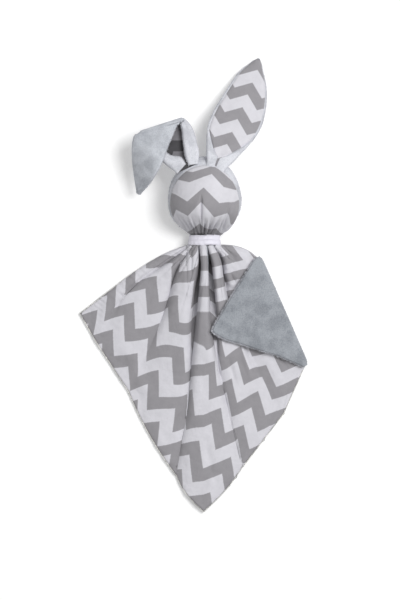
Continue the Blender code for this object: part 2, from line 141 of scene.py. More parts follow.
def photo(x: Array, y: Array) -> Array:
    """Plan points in metres of places given in the photograph's grid of 0.95 mm."""
    x, y = np.asarray(x, float) - PHOTO_X, PHOTO_Y - np.asarray(y, float)
    return np.stack((x * PHOTO_STEP, y * PHOTO_STEP), axis=-1)


def photo_grid(x: Array, y: Array) -> tuple[Array, Array]:
    """Places in the photograph's grid of plan points in metres."""
    return PHOTO_X + x / PHOTO_STEP, PHOTO_Y - y / PHOTO_STEP


# ---------------------------------------------------------------- meshes


def mesh_object(name: str, points: Array, faces: Array, uv: Array | None = None) -> bpy.types.Object:
    """Makes an object at the origin from arrays.

    Args:
        name: the piece's name.
        points: vertices, one row each.
        faces: vertex numbers, four to a row, the last one repeated where the face has three sides.
        uv: a pattern place for each vertex.

    Returns:
        The linked object, shaded smooth.
    """
    mesh = bpy.data.meshes.new(name)
    three = faces[:, 2] == faces[:, 3]
    mesh.from_pydata(points.tolist(), [], faces[~three].tolist() + faces[three][:, :3].tolist())
    if uv is not None:
        loops = np.empty(len(mesh.loops), np.int32)
        mesh.loops.foreach_get("vertex_index", loops)
        layer = mesh.uv_layers.new(name="pattern")
        layer.data.foreach_set("uv", uv[loops].astype(np.float32).ravel())
    mesh.shade_smooth()
    item = bpy.data.objects.new(name, mesh)
    bpy.context.scene.collection.objects.link(item)
    return item


def quads(rows: int, columns: int, start: int = 0, flip: bool = False) -> Array:
    """Faces of a grid whose vertices are numbered row by row from start.

    Args:
        rows: how many rows of vertices.
        columns: how many in a row.
        start: the first one's number.
        flip: whether the faces look the other way.

    Returns:
        Four vertex numbers for each face.
    """
    i, j = np.meshgrid(np.arange(rows - 1), np.arange(columns - 1), indexing="ij")
    a = (start + i * columns + j).ravel()
    faces = np.stack((a, a + columns, a + columns + 1, a + 1), axis=1)
    return faces[:, ::-1] if flip else faces


def border(rows: int, columns: int) -> Array:
    """Vertex numbers round the edge of a grid, once round.

    Args:
        rows: how many rows of vertices.
        columns: how many in a row.

    Returns:
        The numbers in order.
    """
    first = np.arange(rows) * columns
    last = (rows - 1) * columns + np.arange(1, columns)
    right = np.arange(rows - 2, -1, -1) * columns + columns - 1
    return np.concatenate((first, last, right, np.arange(columns - 2, 0, -1)))


def cloth(name: str, upper: Array, lower: Array, uv: Array) -> bpy.types.Object:
    """A closed cloth between two grids of points with the same rows and columns, joined round the edge.

    Args:
        name: the piece's name.
        upper: the upper face's points.
        lower: the lower face's points.
        uv: the pattern place of each grid point.

    Returns:
        The object.
    """
    rows, columns = upper.shape[:2]
    count = rows * columns
    points = np.concatenate((upper.reshape(-1, 3), lower.reshape(-1, 3)))
    ring = border(rows, columns)
    turn = np.roll(ring, -1)
    side = np.stack((ring, ring + count, turn + count, turn), axis=1)
    faces = np.concatenate((quads(rows, columns), quads(rows, columns, count, True), side))
    both = np.concatenate((uv.reshape(-1, 2), uv.reshape(-1, 2)))
    return mesh_object(name, points, faces, both)


def edge_distance(points: Array, sides: tuple[str, ...]) -> Array:
    """How far each grid point is from the nearest of the named edges, measured along the grid's own lines.

    Args:
        points: the grid.
        sides: which of left, right, top and bottom.

    Returns:
        One distance for each point.
    """
    across = np.linalg.norm(np.diff(points, axis=1), axis=2)
    down = np.linalg.norm(np.diff(points, axis=0), axis=2)
    zero_column, zero_row = np.zeros((len(points), 1)), np.zeros((1, points.shape[1]))
    left = np.concatenate((zero_column, np.cumsum(across, axis=1)), axis=1)
    top = np.concatenate((zero_row, np.cumsum(down, axis=0)), axis=0)
    ways = {"left": left, "right": left[:, -1:] - left, "top": top, "bottom": top[-1:] - top}
    return np.min([ways[side] for side in sides], axis=0)


def rounded(distance: Array, radius: float) -> Array:
    """A share of full thickness that rounds an edge off like a quarter circle over radius."""
    t = np.clip(distance / radius, 0, 1)
    return np.sqrt(np.clip(1 - (1 - t) ** 2, 0, 1))


def pile(name: str, roots: Array, lean: Array, length: float, width: float, seed: int) -> bpy.types.Object:
    """Short tapered tufts of pile: each root carries a bent blade that leans the way it is given, with some scatter.

    Args:
        name: the piece's name.
        roots: where the tufts stand.
        lean: which way each one points.
        length: their mean length.
        width: their width at the root.
        seed: which random scatter.

    Returns:
        The object, with seven vertices to a tuft.
    """
    random = np.random.default_rng(seed)
    count = len(roots)
    way = unit(unit(lean) + random.normal(0, 0.38, (count, 3)))
    side = unit(np.cross(way, random.normal(0, 1, (count, 3))))
    bend = unit(np.cross(way, side)) * random.uniform(-0.5, 0.5, (count, 1))
    reach = length * random.uniform(0.6, 1.25, (count, 1))
    steps = []
    for share, girth in ((0.0, 0.5), (0.4, 0.42), (0.75, 0.28)):
        middle = roots + way * reach * share + bend * reach * share**2
        steps += [middle - side * width * girth, middle + side * width * girth]
    steps.append(roots + way * reach + bend * reach)
    points = np.stack(steps, axis=1).reshape(-1, 3)
    base = np.arange(count)[:, None] * 7
    strip = np.array([(0, 1, 3, 2), (2, 3, 5, 4), (4, 5, 6, 6)])
    return mesh_object(name, points, (base[:, :, None] + strip[None]).reshape(-1, 4))


def stitches(name: str, path: Array, normals: Array, gap: float, length: float, radius: float) -> bpy.types.Object:
    """A row of short sewn stitches along a path: each a slim pillow with six sides and four rings.

    Args:
        name: the piece's name.
        path: points on the cloth, in order.
        normals: the cloth's outward direction at each point.
        gap: the space between two stitches.
        length: one stitch's length.
        radius: its half thickness.

    Returns:
        The object.
    """
    step = np.linalg.norm(np.diff(path, axis=0), axis=1)
    run = np.concatenate(([0.0], np.cumsum(step)))
    starts = np.arange(gap / 2, run[-1] - length, length + gap)

    def along(distance: Array, values: Array) -> Array:
        """Values read at distances along the path."""
        return np.stack([np.interp(distance, run, values[:, k]) for k in range(3)], axis=-1)

    shares = np.array([0.0, 0.25, 0.75, 1.0])
    middle = along(starts[:, None] + shares * length, path)
    out = unit(along(starts[:, None] + shares * length, normals))
    forward = unit(middle[:, -1:] - middle[:, :1])
    side = unit(np.cross(forward, out))
    girth = radius * np.array([0.25, 1.0, 1.0, 0.25])[None, :, None, None]
    turn = np.arange(6) * math.pi / 3
    ring = np.cos(turn)[:, None] * side[:, :, None, :] + np.sin(turn)[:, None] * out[:, :, None, :]
    lift = out * radius * np.array([-0.6, 0.5, 0.5, -0.6])[None, :, None]
    points = middle[:, :, None, :] + lift[:, :, None, :] + ring * girth
    one = []
    for row in range(3):
        for k in range(6):
            m = (k + 1) % 6
            one.append((row * 6 + k, row * 6 + m, row * 6 + 6 + m, row * 6 + 6 + k))
    one += [(3, 2, 1, 0), (5, 4, 3, 0), (18, 19, 20, 21), (18, 21, 22, 23)]
    base = np.arange(len(starts))[:, None, None] * 24
    return mesh_object(name, points.reshape(-1, 3), (base + np.array(one)[None]).reshape(-1, 4))


# ---------------------------------------------------------------- shader maths


class Value:
    """A number socket of a material, with the operators that the finishes use."""

    def __init__(self, sketch: "Sketch", socket: bpy.types.NodeSocket) -> None:
        """Keeps the material's sketch and the socket."""
        self.sketch, self.socket = sketch, socket

    def _math(self, operation: str, *others: object) -> "Value":
        """One Math node on this value and others."""
        node = self.sketch.node("ShaderNodeMath", {"operation": operation}, dict(enumerate(others)))
        return Value(self.sketch, node.outputs[0])

    def __add__(self, other: object) -> "Value":
        """This value plus another."""
        return self._math("ADD", self, other)

    def __sub__(self, other: object) -> "Value":
        """This value less another."""
        return self._math("SUBTRACT", self, other)

    def __rsub__(self, other: object) -> "Value":
        """Another value less this one."""
        return self._math("SUBTRACT", other, self)

    def __mul__(self, other: object) -> "Value":
        """This value times another."""
        return self._math("MULTIPLY", self, other)

    def __truediv__(self, other: object) -> "Value":
        """This value over another."""
        return self._math("DIVIDE", self, other)

    __radd__, __rmul__ = __add__, __mul__

    def fraction(self) -> "Value":
        """What is left after the whole number."""
        return self._math("FRACT", self)

    def zigzag(self) -> "Value":
        """A triangle wave: 0 at whole numbers and 1 halfway between them."""
        return self._math("PINGPONG", self, 0.5) * 2.0

    def sine(self) -> "Value":
        """The sine of the value."""
        return self._math("SINE", self)

    def step(self, low: float, high: float) -> "Value":
        """0 below low and 1 above high, smooth between.

        Args:
            low: where it starts to rise.
            high: where it has risen.

        Returns:
            The step.
        """
        settings = {"interpolation_type": "SMOOTHSTEP"}
        node = self.sketch.node("ShaderNodeMapRange", settings, {0: self, 1: low, 2: high})
        return Value(self.sketch, node.outputs[0])


class Sketch:
    """One material and the nodes that are added to it."""

    def __init__(self, name: str) -> None:
        """Starts a material with a Principled shader.

        Args:
            name: the material's name.
        """
        self.material = bpy.data.materials.new(name)
        self.material.use_nodes = True
        self.tree = self.material.node_tree
        self.shader = self.tree.nodes["Principled BSDF"]

    def node(self, kind: str, settings: dict[str, object], inputs: dict[object, object]) -> bpy.types.Node:
        """Adds a node.

        Args:
            kind: the node's type.
            settings: its own settings, set before its sockets.
            inputs: a value, a socket or a Value for each input socket, by name or number.

        Returns:
            The node.
        """
        made = self.tree.nodes.new(kind)
        for key, setting in settings.items():
            setattr(made, key, setting)
        for key, given in inputs.items():
            self.feed(made.inputs[key], given)
        return made

    def feed(self, socket: bpy.types.NodeSocket, given: object) -> None:
        """Links a Value or socket to an input, or sets the input's own value.

        Args:
            socket: the input.
            given: a Value, a socket or a plain value.
        """
        if isinstance(given, Value):
            self.tree.links.new(given.socket, socket)
        elif isinstance(given, bpy.types.NodeSocket):
            self.tree.links.new(given, socket)
        else:
            socket.default_value = given

    def constants(self, **values: object) -> None:
        """Sets values on the shader's own sockets, spaces in their names written as underscores."""
        for name, value in values.items():
            self.shader.inputs[name.replace("_", " ")].default_value = value

    def pattern(self) -> tuple[Value, Value]:
        """The two numbers of the piece's own pattern map.

        Returns:
            The steps along the zigzag and across its bands.
        """
        made = self.node("ShaderNodeUVMap", {"uv_map": "pattern"}, {})
        parts = self.node("ShaderNodeSeparateXYZ", {}, {0: made.outputs[0]})
        return Value(self, parts.outputs[0]), Value(self, parts.outputs[1])

    def place(self) -> bpy.types.NodeSocket:
        """Object coordinates."""
        return self.node("ShaderNodeTexCoord", {}, {}).outputs["Object"]

    def noise(self, scale: float, detail: float = 2.0) -> Value:
        """Noise between 0 and 1 at so many features a metre of the Object coordinates."""
        inputs = {"Vector": self.place(), "Scale": scale, "Detail": detail}
        return Value(self, self.node("ShaderNodeTexNoise", {}, inputs).outputs[0])

    def mixed(self, factor: object, first: object, second: object, mode: str = "MIX") -> bpy.types.NodeSocket:
        """A colour mixed from two by a factor."""
        made = self.node("ShaderNodeMix", {"data_type": "RGBA", "blend_type": mode}, {0: factor, 6: first, 7: second})
        return made.outputs[2]

    def bump(self, height: Value, depth: float, strength: float = 1.0) -> None:
        """Feeds a height between 0 and 1, worth depth in metres, to the shader's normal.

        Args:
            height: the height.
            depth: what 1 is worth, in metres.
            strength: how strongly it tells.
        """
        inputs = {"Strength": strength, "Distance": depth, "Height": height}
        made = self.node("ShaderNodeBump", {}, inputs)
        self.tree.links.new(made.outputs[0], self.shader.inputs["Normal"])


def display(red: int, green: int, blue: int) -> tuple[float, float, float, float]:
    """A shader's linear colour from display values out of 255."""
    shares = np.array((red, green, blue)) / 255
    return (*(((shares + 0.055) / 1.055) ** 2.4).tolist(), 1.0)


# ---------------------------------------------------------------- finishes


@dataclass(frozen=True)
class ZigzagCotton:
    """Printed cotton: grey and white zigzag bands of one width, with the weave and the print's soft edges."""

    white: tuple[int, int, int] = (218, 217, 223)
    grey: tuple[int, int, int] = (155, 153, 157)
    wave: float = 0.031
    period: float = 0.0347
    zigzag_height: float = 0.537

    def material(self, name: str, height: float | None = None) -> bpy.types.Material:
        """Builds the cotton.

        Args:
            name: the material's name.
            height: the zigzag's height as a share of the period, where a piece's differs.

        Returns:
            The material.
        """
        sketch = Sketch(name)
        along, across = sketch.pattern()
        bleed = (sketch.noise(900, 2) - 0.5) * 0.03
        band = (across + along.zigzag() * (height or self.zigzag_height) + bleed).fraction()
        ink = band.step(0.485, 0.515) * (1.0 - band.step(0.97, 1.0))
        worn, rumpled = sketch.noise(260, 3), sketch.noise(120, 4)
        cotton = sketch.mixed(ink, display(*self.white), display(*self.grey))
        threads = self.weave(along, across)
        faded = worn * 0.10 + threads * 0.07 + rumpled.step(0.42, 0.66) * 0.05
        mottled = sketch.mixed(faded, cotton, (0.30, 0.30, 0.31, 1.0), "MULTIPLY")
        sketch.feed(sketch.shader.inputs["Base Color"], mottled)
        sketch.feed(sketch.shader.inputs["Roughness"], 0.80 + worn * 0.14)
        sketch.constants(Sheen_Weight=0.12, Sheen_Roughness=0.5, Specular_IOR_Level=0.25)
        sketch.bump(threads * 0.5 + sketch.noise(420, 3) * 0.9 + rumpled * 6.0, 0.00022, 0.75)
        return sketch.material

    def weave(self, along: Value, across: Value) -> Value:
        """Plain weave: two sine waves, one for each set of threads, 0.45 mm apart, multiplied together.

        Args:
            along: the pattern's steps along the zigzag.
            across: its steps across the bands.

        Returns:
            The threads' height between 0 and 1.
        """
        warp = (along * (self.wave / 0.00045 * math.tau)).sine()
        weft = (across * (self.period / 0.00045 * math.tau)).sine()
        return warp * weft * 0.5 + 0.5


@dataclass(frozen=True)
class Plush:
    """Short-pile plush: clumps of pile whose colour goes from light tips to dark roots, painted shade deep in the pile,
    with a soft sheen.
    """

    tip: tuple[int, int, int] = (165, 169, 175)
    root: tuple[int, int, int] = (135, 139, 145)
    clump: float = 900.0

    def material(self, name: str) -> bpy.types.Material:
        """Builds the plush.

        Args:
            name: the material's name.

        Returns:
            The material.
        """
        sketch = Sketch(name)
        clumps, fine, patches = sketch.noise(self.clump, 4), sketch.noise(2300, 2), sketch.noise(75, 4)
        pile_height = clumps * 0.65 + fine * 0.35
        # Painted shade: the colour darkens towards the roots, where the pile's bump is low.
        shade = pile_height.step(0.22, 0.66)
        colour = sketch.mixed(shade, display(*self.root), display(*self.tip))
        patchy = sketch.mixed(patches.step(0.38, 0.64) * 0.40, colour, (0.45, 0.46, 0.48, 1.0), "MULTIPLY")
        sketch.feed(sketch.shader.inputs["Base Color"], patchy)
        sketch.feed(sketch.shader.inputs["Roughness"], 0.9 + fine * 0.1)
        sketch.constants(Sheen_Weight=0.35, Sheen_Roughness=0.45, Specular_IOR_Level=0.15)
        sketch.bump(pile_height, 0.0006, 0.6)
        return sketch.material


@dataclass(frozen=True)
class Satin:
    """Satin ribbon: fine threads along its length and a soft shine."""

    colour: tuple[int, int, int] = (232, 230, 240)

    def material(self, name: str) -> bpy.types.Material:
        """Builds the satin.

        Args:
            name: the material's name.

        Returns:
            The material.
        """
        sketch = Sketch(name)
        across = sketch.pattern()[1]
        threads = (across * 60.0).sine() * 0.5 + 0.5
        creases = sketch.noise(300, 2)
        base = sketch.mixed(threads * 0.14 + creases * 0.10, display(*self.colour), (0.45, 0.44, 0.5, 1.0), "MULTIPLY")
        sketch.feed(sketch.shader.inputs["Base Color"], base)
        sketch.feed(sketch.shader.inputs["Roughness"], 0.36 + creases * 0.2)
        sketch.constants(Sheen_Weight=0.2, Specular_IOR_Level=0.45)
        sketch.bump(threads * 0.4 + creases * 0.6, 0.0002, 0.7)
        return sketch.material


@dataclass(frozen=True)
class Thread:
    """Sewing thread: two plies twisted together, told by fine noise."""

    colour: tuple[int, int, int] = (214, 213, 216)

    def material(self, name: str) -> bpy.types.Material:
        """Builds the thread.

        Args:
            name: the material's name.

        Returns:
            The material.
        """
        sketch = Sketch(name)
        twist = sketch.noise(2600, 1)
        base = sketch.mixed(twist * 0.35, display(*self.colour), (0.5, 0.5, 0.52, 1.0), "MULTIPLY")
        sketch.feed(sketch.shader.inputs["Base Color"], base)
        sketch.feed(sketch.shader.inputs["Roughness"], 0.55 + twist * 0.3)
        sketch.bump(twist, 0.0001)
        return sketch.material


class Finish(Enum):
    """The finishes, each with the record's material slot that it stands for."""

    PRINT = "print"
    EAR_PRINT = "ear print"
    # Print darkened as painted shade, for the inside of the folded ear.
    SHADED_PRINT = "shaded print"
    PLUSH = "plush"
    PALE_PLUSH = "pale plush"
    EAR_PLUSH = "ear plush"
    # Near-white plush for the blanket's edge pile: painted light caught along the edge.
    LIT_EDGE_PLUSH = "edge plush"
    RIBBON = "ribbon"
    STUFFING = "stuffing"
    THREAD = "thread"

    @property
    def slot(self) -> str:
        """The record's slot."""
        kinds = {"ear print": "print", "shaded print": "print", "thread": "print"}
        return "plush" if self.value.endswith("plush") else kinds.get(self.value, self.value)


class Wardrobe:
    """Builds each finish once and dresses pieces in it."""

    def __init__(self) -> None:
        """Builds the materials."""
        cotton = ZigzagCotton()
        self.materials = {
            Finish.PRINT: cotton.material("zigzag cotton"),
            Finish.EAR_PRINT: cotton.material("zigzag cotton of the ears", 0.42),
            # Painted shade: a darker copy of the print for the shade inside the folded ear.
            Finish.SHADED_PRINT: ZigzagCotton((132, 130, 135), (78, 77, 80)).material("cotton inside the ear, darkened as painted shade", 0.42),
            Finish.PLUSH: Plush().material("grey plush"),
            Finish.PALE_PLUSH: Plush((218, 219, 225), (190, 192, 199)).material("pale plush"),
            Finish.EAR_PLUSH: Plush((206, 209, 215), (176, 180, 187)).material("plush of the folded ear"),
            # Painted light: the edge pile is far paler than the grey plush, to show light caught along the blanket's
            # edge.
            Finish.LIT_EDGE_PLUSH: Plush((255, 254, 250), (236, 234, 232)).material("plush at the edge, brightened as painted light"),
            Finish.RIBBON: Satin().material("satin ribbon"),
            Finish.STUFFING: Plush((245, 245, 243), (222, 222, 220), 300.0).material("fibre stuffing"),
            Finish.THREAD: Thread().material("sewing thread"),
        }

    def dress(self, item: bpy.types.Object, finish: Finish) -> bpy.types.Object:
        """Gives a piece its finish and reports it.

        Args:
            item: the piece.
            finish: its finish.

        Returns:
            The piece.
        """
        item.data.materials.clear()
        item.data.materials.append(self.materials[finish])
        LOG.info("%s: %d faces, %s", item.name, len(item.data.polygons), finish.value)
        return item


# ---------------------------------------------------------------- blanket


@dataclass(frozen=True)
class Span:
    """One strip of the blanket between two of its lines.

    The first two numbers name the lines that bound it in plan and on the cloth, the next the row of fold heights,
    then how blunt the fold is, how slowly the plan runs at its foot, how far its outer edge bows out, which half of
    a fold it is and how many columns it has.
    """

    first: int
    second: int
    fold: int
    blunt: float
    steep: float
    bow: float
    part: tuple[float, float]
    columns: int


@dataclass
class Blanket:
    """The lying blanket: lines run from the neck to the outer edge, and cloth stands up in folds between them.

    Each line has seven levels. Its plan points are shares of the width right of the neck and of the drop below it,
    and its cloth points are steps along and across the printed pattern, so the print follows the cloth.
    """

    wardrobe: Wardrobe
    neck_x: float = 0.0110
    neck_y: float = 0.0376
    width: float = 0.2128
    drop: float = 0.2524
    fold_height: float = 0.0150
    cotton_thickness: float = 0.0010
    plush_thickness: float = 0.0022
    rows: int = 240
    pleat_columns: int = 14
    fold_length: float = 0.1124

    shoulder_start = (0.065, 0.0)
    fold_start = (0.237, 0.044)
    fold_end = (0.449, 0.452)

    levels = (0.0, 0.08, 0.18, 0.32, 0.5, 0.74, 1.0)
    plan_lines = (
        ((-0.070, 0.0), (-0.109, 0.010), (-0.159, 0.025), (-0.232, 0.057),
         (-0.322, 0.106), (-0.435, 0.178), (-0.554, 0.255)),
        ((-0.058, 0.0), (-0.094, 0.024), (-0.141, 0.053), (-0.212, 0.090),
         (-0.297, 0.144), (-0.393, 0.234), (-0.480, 0.364)),
        ((-0.045, 0.0), (-0.081, 0.038), (-0.121, 0.087), (-0.147, 0.162),
         (-0.182, 0.261), (-0.249, 0.394), (-0.337, 0.548)),
        ((-0.029, 0.004), (-0.024, 0.072), (-0.042, 0.162), (-0.056, 0.283),
         (-0.062, 0.434), (-0.082, 0.629), (-0.128, 0.860)),
        ((-0.020, 0.002), (-0.011, 0.072), (-0.019, 0.162), (-0.033, 0.283),
         (-0.054, 0.434), (-0.076, 0.629), (-0.124, 0.863)),
        ((-0.004, 0.0), (0.004, 0.074), (0.002, 0.166), (0.0, 0.288), (-0.002, 0.446), (-0.002, 0.679), (-0.002, 1.0)),
        ((0.008, 0.002), (0.014, 0.074), (0.019, 0.166), (0.027, 0.291),
         (0.056, 0.435), (0.103, 0.606), (0.171, 0.832)),
        ((0.017, 0.002), (0.036, 0.070), (0.048, 0.160), (0.062, 0.284),
         (0.065, 0.432), (0.108, 0.603), (0.174, 0.830)),
        ((0.039, 0.002), (0.072, 0.055), (0.084, 0.118), (0.103, 0.195),
         (0.144, 0.302), (0.232, 0.464), (0.354, 0.632)),
    )
    cloth_lines = (
        ((0.30, 3.20), (0.46, 3.02), (0.58, 2.74), (0.44, 2.25), (0.20, 1.54), (-0.12, 0.52), (-0.62, -0.58)),
        ((0.42, 2.93), (0.63, 2.76), (0.83, 2.56), (0.78, 2.12), (0.63, 1.48), (0.57, 0.50), (0.84, -0.58)),
        ((1.11, 3.68), (1.10, 3.07), (1.26, 2.48), (1.57, 1.98), (1.95, 1.21), (2.31, 0.25), (2.45, -1.08)),
        ((2.04, 3.18), (2.02, 2.79), (2.30, 2.36), (2.88, 1.75), (3.51, 0.81), (4.39, -0.46), (5.65, -1.87)),
        ((3.45, 4.87), (3.45, 4.22), (3.42, 3.41), (3.72, 2.62), (4.48, 1.62), (5.21, 0.36), (5.88, -1.37)),
        ((3.70, 5.03), (3.72, 4.40), (3.76, 3.60), (4.02, 2.76), (4.66, 1.60), (5.85, 0.36), (7.17, -1.50)),
        ((3.92, 5.26), (3.97, 4.69), (4.08, 3.81), (4.30, 2.32), (5.18, 2.12), (6.20, 1.15), (7.53, -0.10)),
        ((4.30, 5.90), (4.50, 4.96), (4.65, 4.09), (4.75, 3.15), (5.21, 2.08), (6.22, 1.15), (7.56, -0.10)),
        ((4.70, 6.00), (4.85, 5.58), (4.95, 4.99), (5.11, 4.25), (5.72, 3.61), (6.74, 2.62), (7.98, 1.75)),
        ((4.56, 6.14), (4.97, 6.03), (5.41, 5.92), (5.84, 5.99), (6.44, 5.54), (7.26, 4.56), (8.07, 3.40)),
    )
    heights = (
        (0.20, 0.28, 0.30, 0.28, 0.22, 0.14, 0.0),
        (0.25, 0.46, 0.54, 0.48, 0.34, 0.18, 0.0),
        (0.34, 0.72, 0.80, 0.72, 0.52, 0.28, 0.0),
        (0.36, 0.92, 1.00, 0.90, 0.66, 0.36, 0.10),
        (0.36, 0.86, 0.90, 0.66, 0.36, 0.20, 0.0),
        (0.25, 0.38, 0.34, 0.22, 0.15, 0.12, 0.0),
    )
    spans = (
        Span(0, 1, 0, 2.4, 0.25, 0.0, (0.0, 1.0), 24),
        Span(1, 2, 1, 2.4, 0.40, 0.0, (0.0, 1.0), 28),
        Span(2, 3, 2, 2.6, 0.45, 0.0030, (0.0, 1.0), 36),
        Span(4, 5, 3, 3.0, 0.50, 0.0030, (0.0, 0.5), 26),
        Span(5, 6, 3, 3.0, 0.50, 0.0022, (0.5, 1.0), 26),
        Span(7, 8, 4, 2.8, 0.45, 0.0, (0.0, 1.0), 32),
        Span(8, 9, 5, 2.4, 0.25, 0.0, (0.0, 1.0), 34),
    )
    pleats = {3: (4, 6, 0.82), 6: (7, 8, 0.50)}
    tube_bands = ((242, 5.45), (256, 5.0), (271, 4.5), (285.5, 4.0), (297, 3.5), (310.5, 3.0), (348, 2.5),
                  (363, 2.0), (376, 1.5))
    second_bands = ((242, 6.4), (253, 6.0), (267, 5.5), (279, 5.0), (289, 4.5), (302, 4.0), (318, 3.5), (340, 3.0))

    def point(self, share: Array) -> Array:
        """A plan point from its shares of the width and the drop.

        Args:
            share: the two shares.

        Returns:
            The point.
        """
        share = np.asarray(share, float)
        x, y = self.neck_x + share[..., 0] * self.width, self.neck_y - share[..., 1] * self.drop
        return np.stack((x, y), axis=-1)

    def fold_edge(self, v: Array) -> Array:
        """The right shoulder, a shallow bow, and then the straight fold under the turned-over corner.

        Args:
            v: each row's share of the way down.

        Returns:
            A plan point for each row, in shares.
        """
        neck, start, end = (np.array(place) for place in (self.shoulder_start, self.fold_start, self.fold_end))
        shoulder = np.clip(v / 0.25, 0, 1)[:, None]
        fold = np.clip((v - 0.25) / 0.75, 0, 1)[:, None]
        bow = 4 * shoulder * (1 - shoulder) * np.array((0.012, -0.012))
        return neck + (start - neck) * shoulder + bow + (end - start) * fold

    def down(self) -> Array:
        """The rows' shares of the way from the neck to the outer edge, closer together near the neck."""
        return np.linspace(0, 1, self.rows) ** 1.12

    def bounds(self, v: Array) -> tuple[list[Array], list[Array], list[Array]]:
        """The lines in plan, the lines on the cloth and the folds' heights at each row.

        Args:
            v: each row's share of the way down.

        Returns:
            The three lists.
        """
        plan = [self.point(through(self.levels, table, v)) for table in self.plan_lines]
        plan.append(self.point(self.fold_edge(v)))
        cloth_at = [through(self.levels, table, v) for table in self.cloth_lines]
        tall = [self.fold_height * np.clip(through(self.levels, row, v), 0, None) for row in self.heights]
        return plan, cloth_at, tall

    def fold(
        self, span: Span, plan: list[Array], cloth_at: list[Array], tall: Array, v: Array
    ) -> tuple[Array, Array, Array]:
        """One strip's plan points, heights and cloth places.

        The plan runs slowly at the fold's foot and quickly over its crest, t - k sin(2 pi t) / (2 pi), and the height
        is the fold's height times 1 - |2t - 1| to the power that makes it blunt.

        Args:
            span: the strip.
            plan: the lines in plan.
            cloth_at: the lines on the cloth.
            tall: the fold's height at each row.
            v: each row's share of the way down.

        Returns:
            The plan points, heights and cloth places.
        """
        low, high = span.part
        t = np.linspace(0, 1, span.columns, endpoint=False)[None, :]
        over = low + (high - low) * t
        fade = np.clip(1.25 - v, 0, 1)[:, None]
        slow = over - span.steep * fade * np.sin(math.tau * over) / math.tau
        place = ((slow - low) / (high - low))[..., None]
        xy = plan[span.first][:, None] * (1 - place) + plan[span.second][:, None] * place
        chord = plan[span.second][-1] - plan[span.first][-1]
        outward = unit(np.array((chord[1], -chord[0])))
        bulge = span.bow * smooth((v - 0.72) / 0.28)[:, None] * np.sin(math.pi * t)
        xy = xy + bulge[..., None] * outward
        z = tall[:, None] * (1 - np.abs(2 * over - 1) ** span.blunt)
        a, b = cloth_at[span.first][:, None], cloth_at[span.second][:, None]
        return xy, z, self.levelled(span.first, a * (1 - t[..., None]) + b * t[..., None], xy, v)

    def levelled(self, first: int, uv: Array, xy: Array, v: Array) -> Array:
        """Cloth places of a tube near the neck, where the gathers draw the printed bands out level across it.

        The step along the pattern is the band wanted at each height in the plan less the zigzag's own height there.
        Right of the tubes the bands are nested angles that point right: there the band is told by the larger of
        the distances beyond two lines.

        Args:
            first: the strip's first line.
            uv: its cloth places.
            xy: its plan points.
            v: each row's share of the way down.

        Returns:
            The cloth places with level bands.
        """
        if first not in (4, 5, 7, 8):
            return uv
        across, height = photo_grid(xy[..., 0], xy[..., 1])
        if first == 8:
            right, down = across - 243, height - 260
            beyond = np.maximum(0.76 * right - 0.65 * down, 0.255 * right + 0.967 * down)
            wanted = 5.5 - 0.5 * beyond / 8.5
        elif first == 7:
            wanted = np.interp(height + 0.28 * (across - 215), *zip(*self.second_bands))
        else:
            wanted = np.interp(height, *zip(*self.tube_bands))
        share = (1 - smooth((v - (0.30 if first == 8 else 0.37)) / 0.12))[:, None]
        zigzag = 1 - np.abs(2 * (uv[..., 0] - np.floor(uv[..., 0])) - 1)
        level = wanted - ZigzagCotton.zigzag_height * zigzag
        return np.dstack((uv[..., 0], uv[..., 1] * (1 - share) + level * share))

    def pleat(self, first: int, plan: list[Array], cloth_at: list[Array], v: Array) -> tuple[Array, Array, Array]:
        """The cloth of a deep valley: across its floor, on beneath the next fold and back to that fold's foot.

        Beneath the fold the distance is the reach times sin(pi q) while the height rises by one thickness.

        Args:
            first: the line where the valley starts.
            plan: the lines in plan.
            cloth_at: the lines on the cloth.
            v: each row's share of the way down.

        Returns:
            The plan points, heights and cloth places.
        """
        second, end, last = self.pleats[first]
        room = np.linalg.norm(plan[end] - plan[second], axis=1)
        fade = 1 - smooth((v - last + 0.3) / 0.3)
        reach = (0.66 * np.clip(room, 0, 0.020) * fade + 0.0005)[:, None]
        floor = np.linspace(0, 1, 7)[None, :]
        q = np.linspace(0, 1, self.pleat_columns)[None, 1:-1]
        across = plan[second] - plan[first]
        flat = plan[first][:, None] + across[:, None] * floor[..., None]
        side = unit(plan[end] - plan[second])[:, None]
        under = plan[second][:, None] + side * (reach * np.sin(math.pi * q))[..., None]
        xy = np.concatenate((flat, under), axis=1)
        lift = self.foot(v, last)[:, None] * smooth(q)
        z = np.concatenate((np.zeros(flat.shape[:2]), lift), axis=1)
        wide = np.linalg.norm(across, axis=1)[:, None, None]
        rest = cloth_at[second][:, None] - cloth_at[first][:, None]
        near = np.minimum(wide * 33 / np.maximum(np.linalg.norm(rest, axis=2, keepdims=True), 0.01), 1.0)
        straight = wide * np.array((31.0, 8.3)) * fade[:, None, None] + rest * near * (1 - fade[:, None, None])
        natural = cloth_at[first][:, None] + straight * floor[..., None]
        hidden = natural[:, -1:] * (1 - q[..., None]) + cloth_at[second][:, None] * q[..., None]
        return xy, z, np.concatenate((natural, hidden), axis=1)

    @staticmethod
    def foot(v: Array, last: float) -> Array:
        """How high a fold stands on the pleat beneath it, which ends at a share of the way down."""
        return 0.0002 + 0.0024 * (1 - smooth((v - last + 0.3) / 0.3))

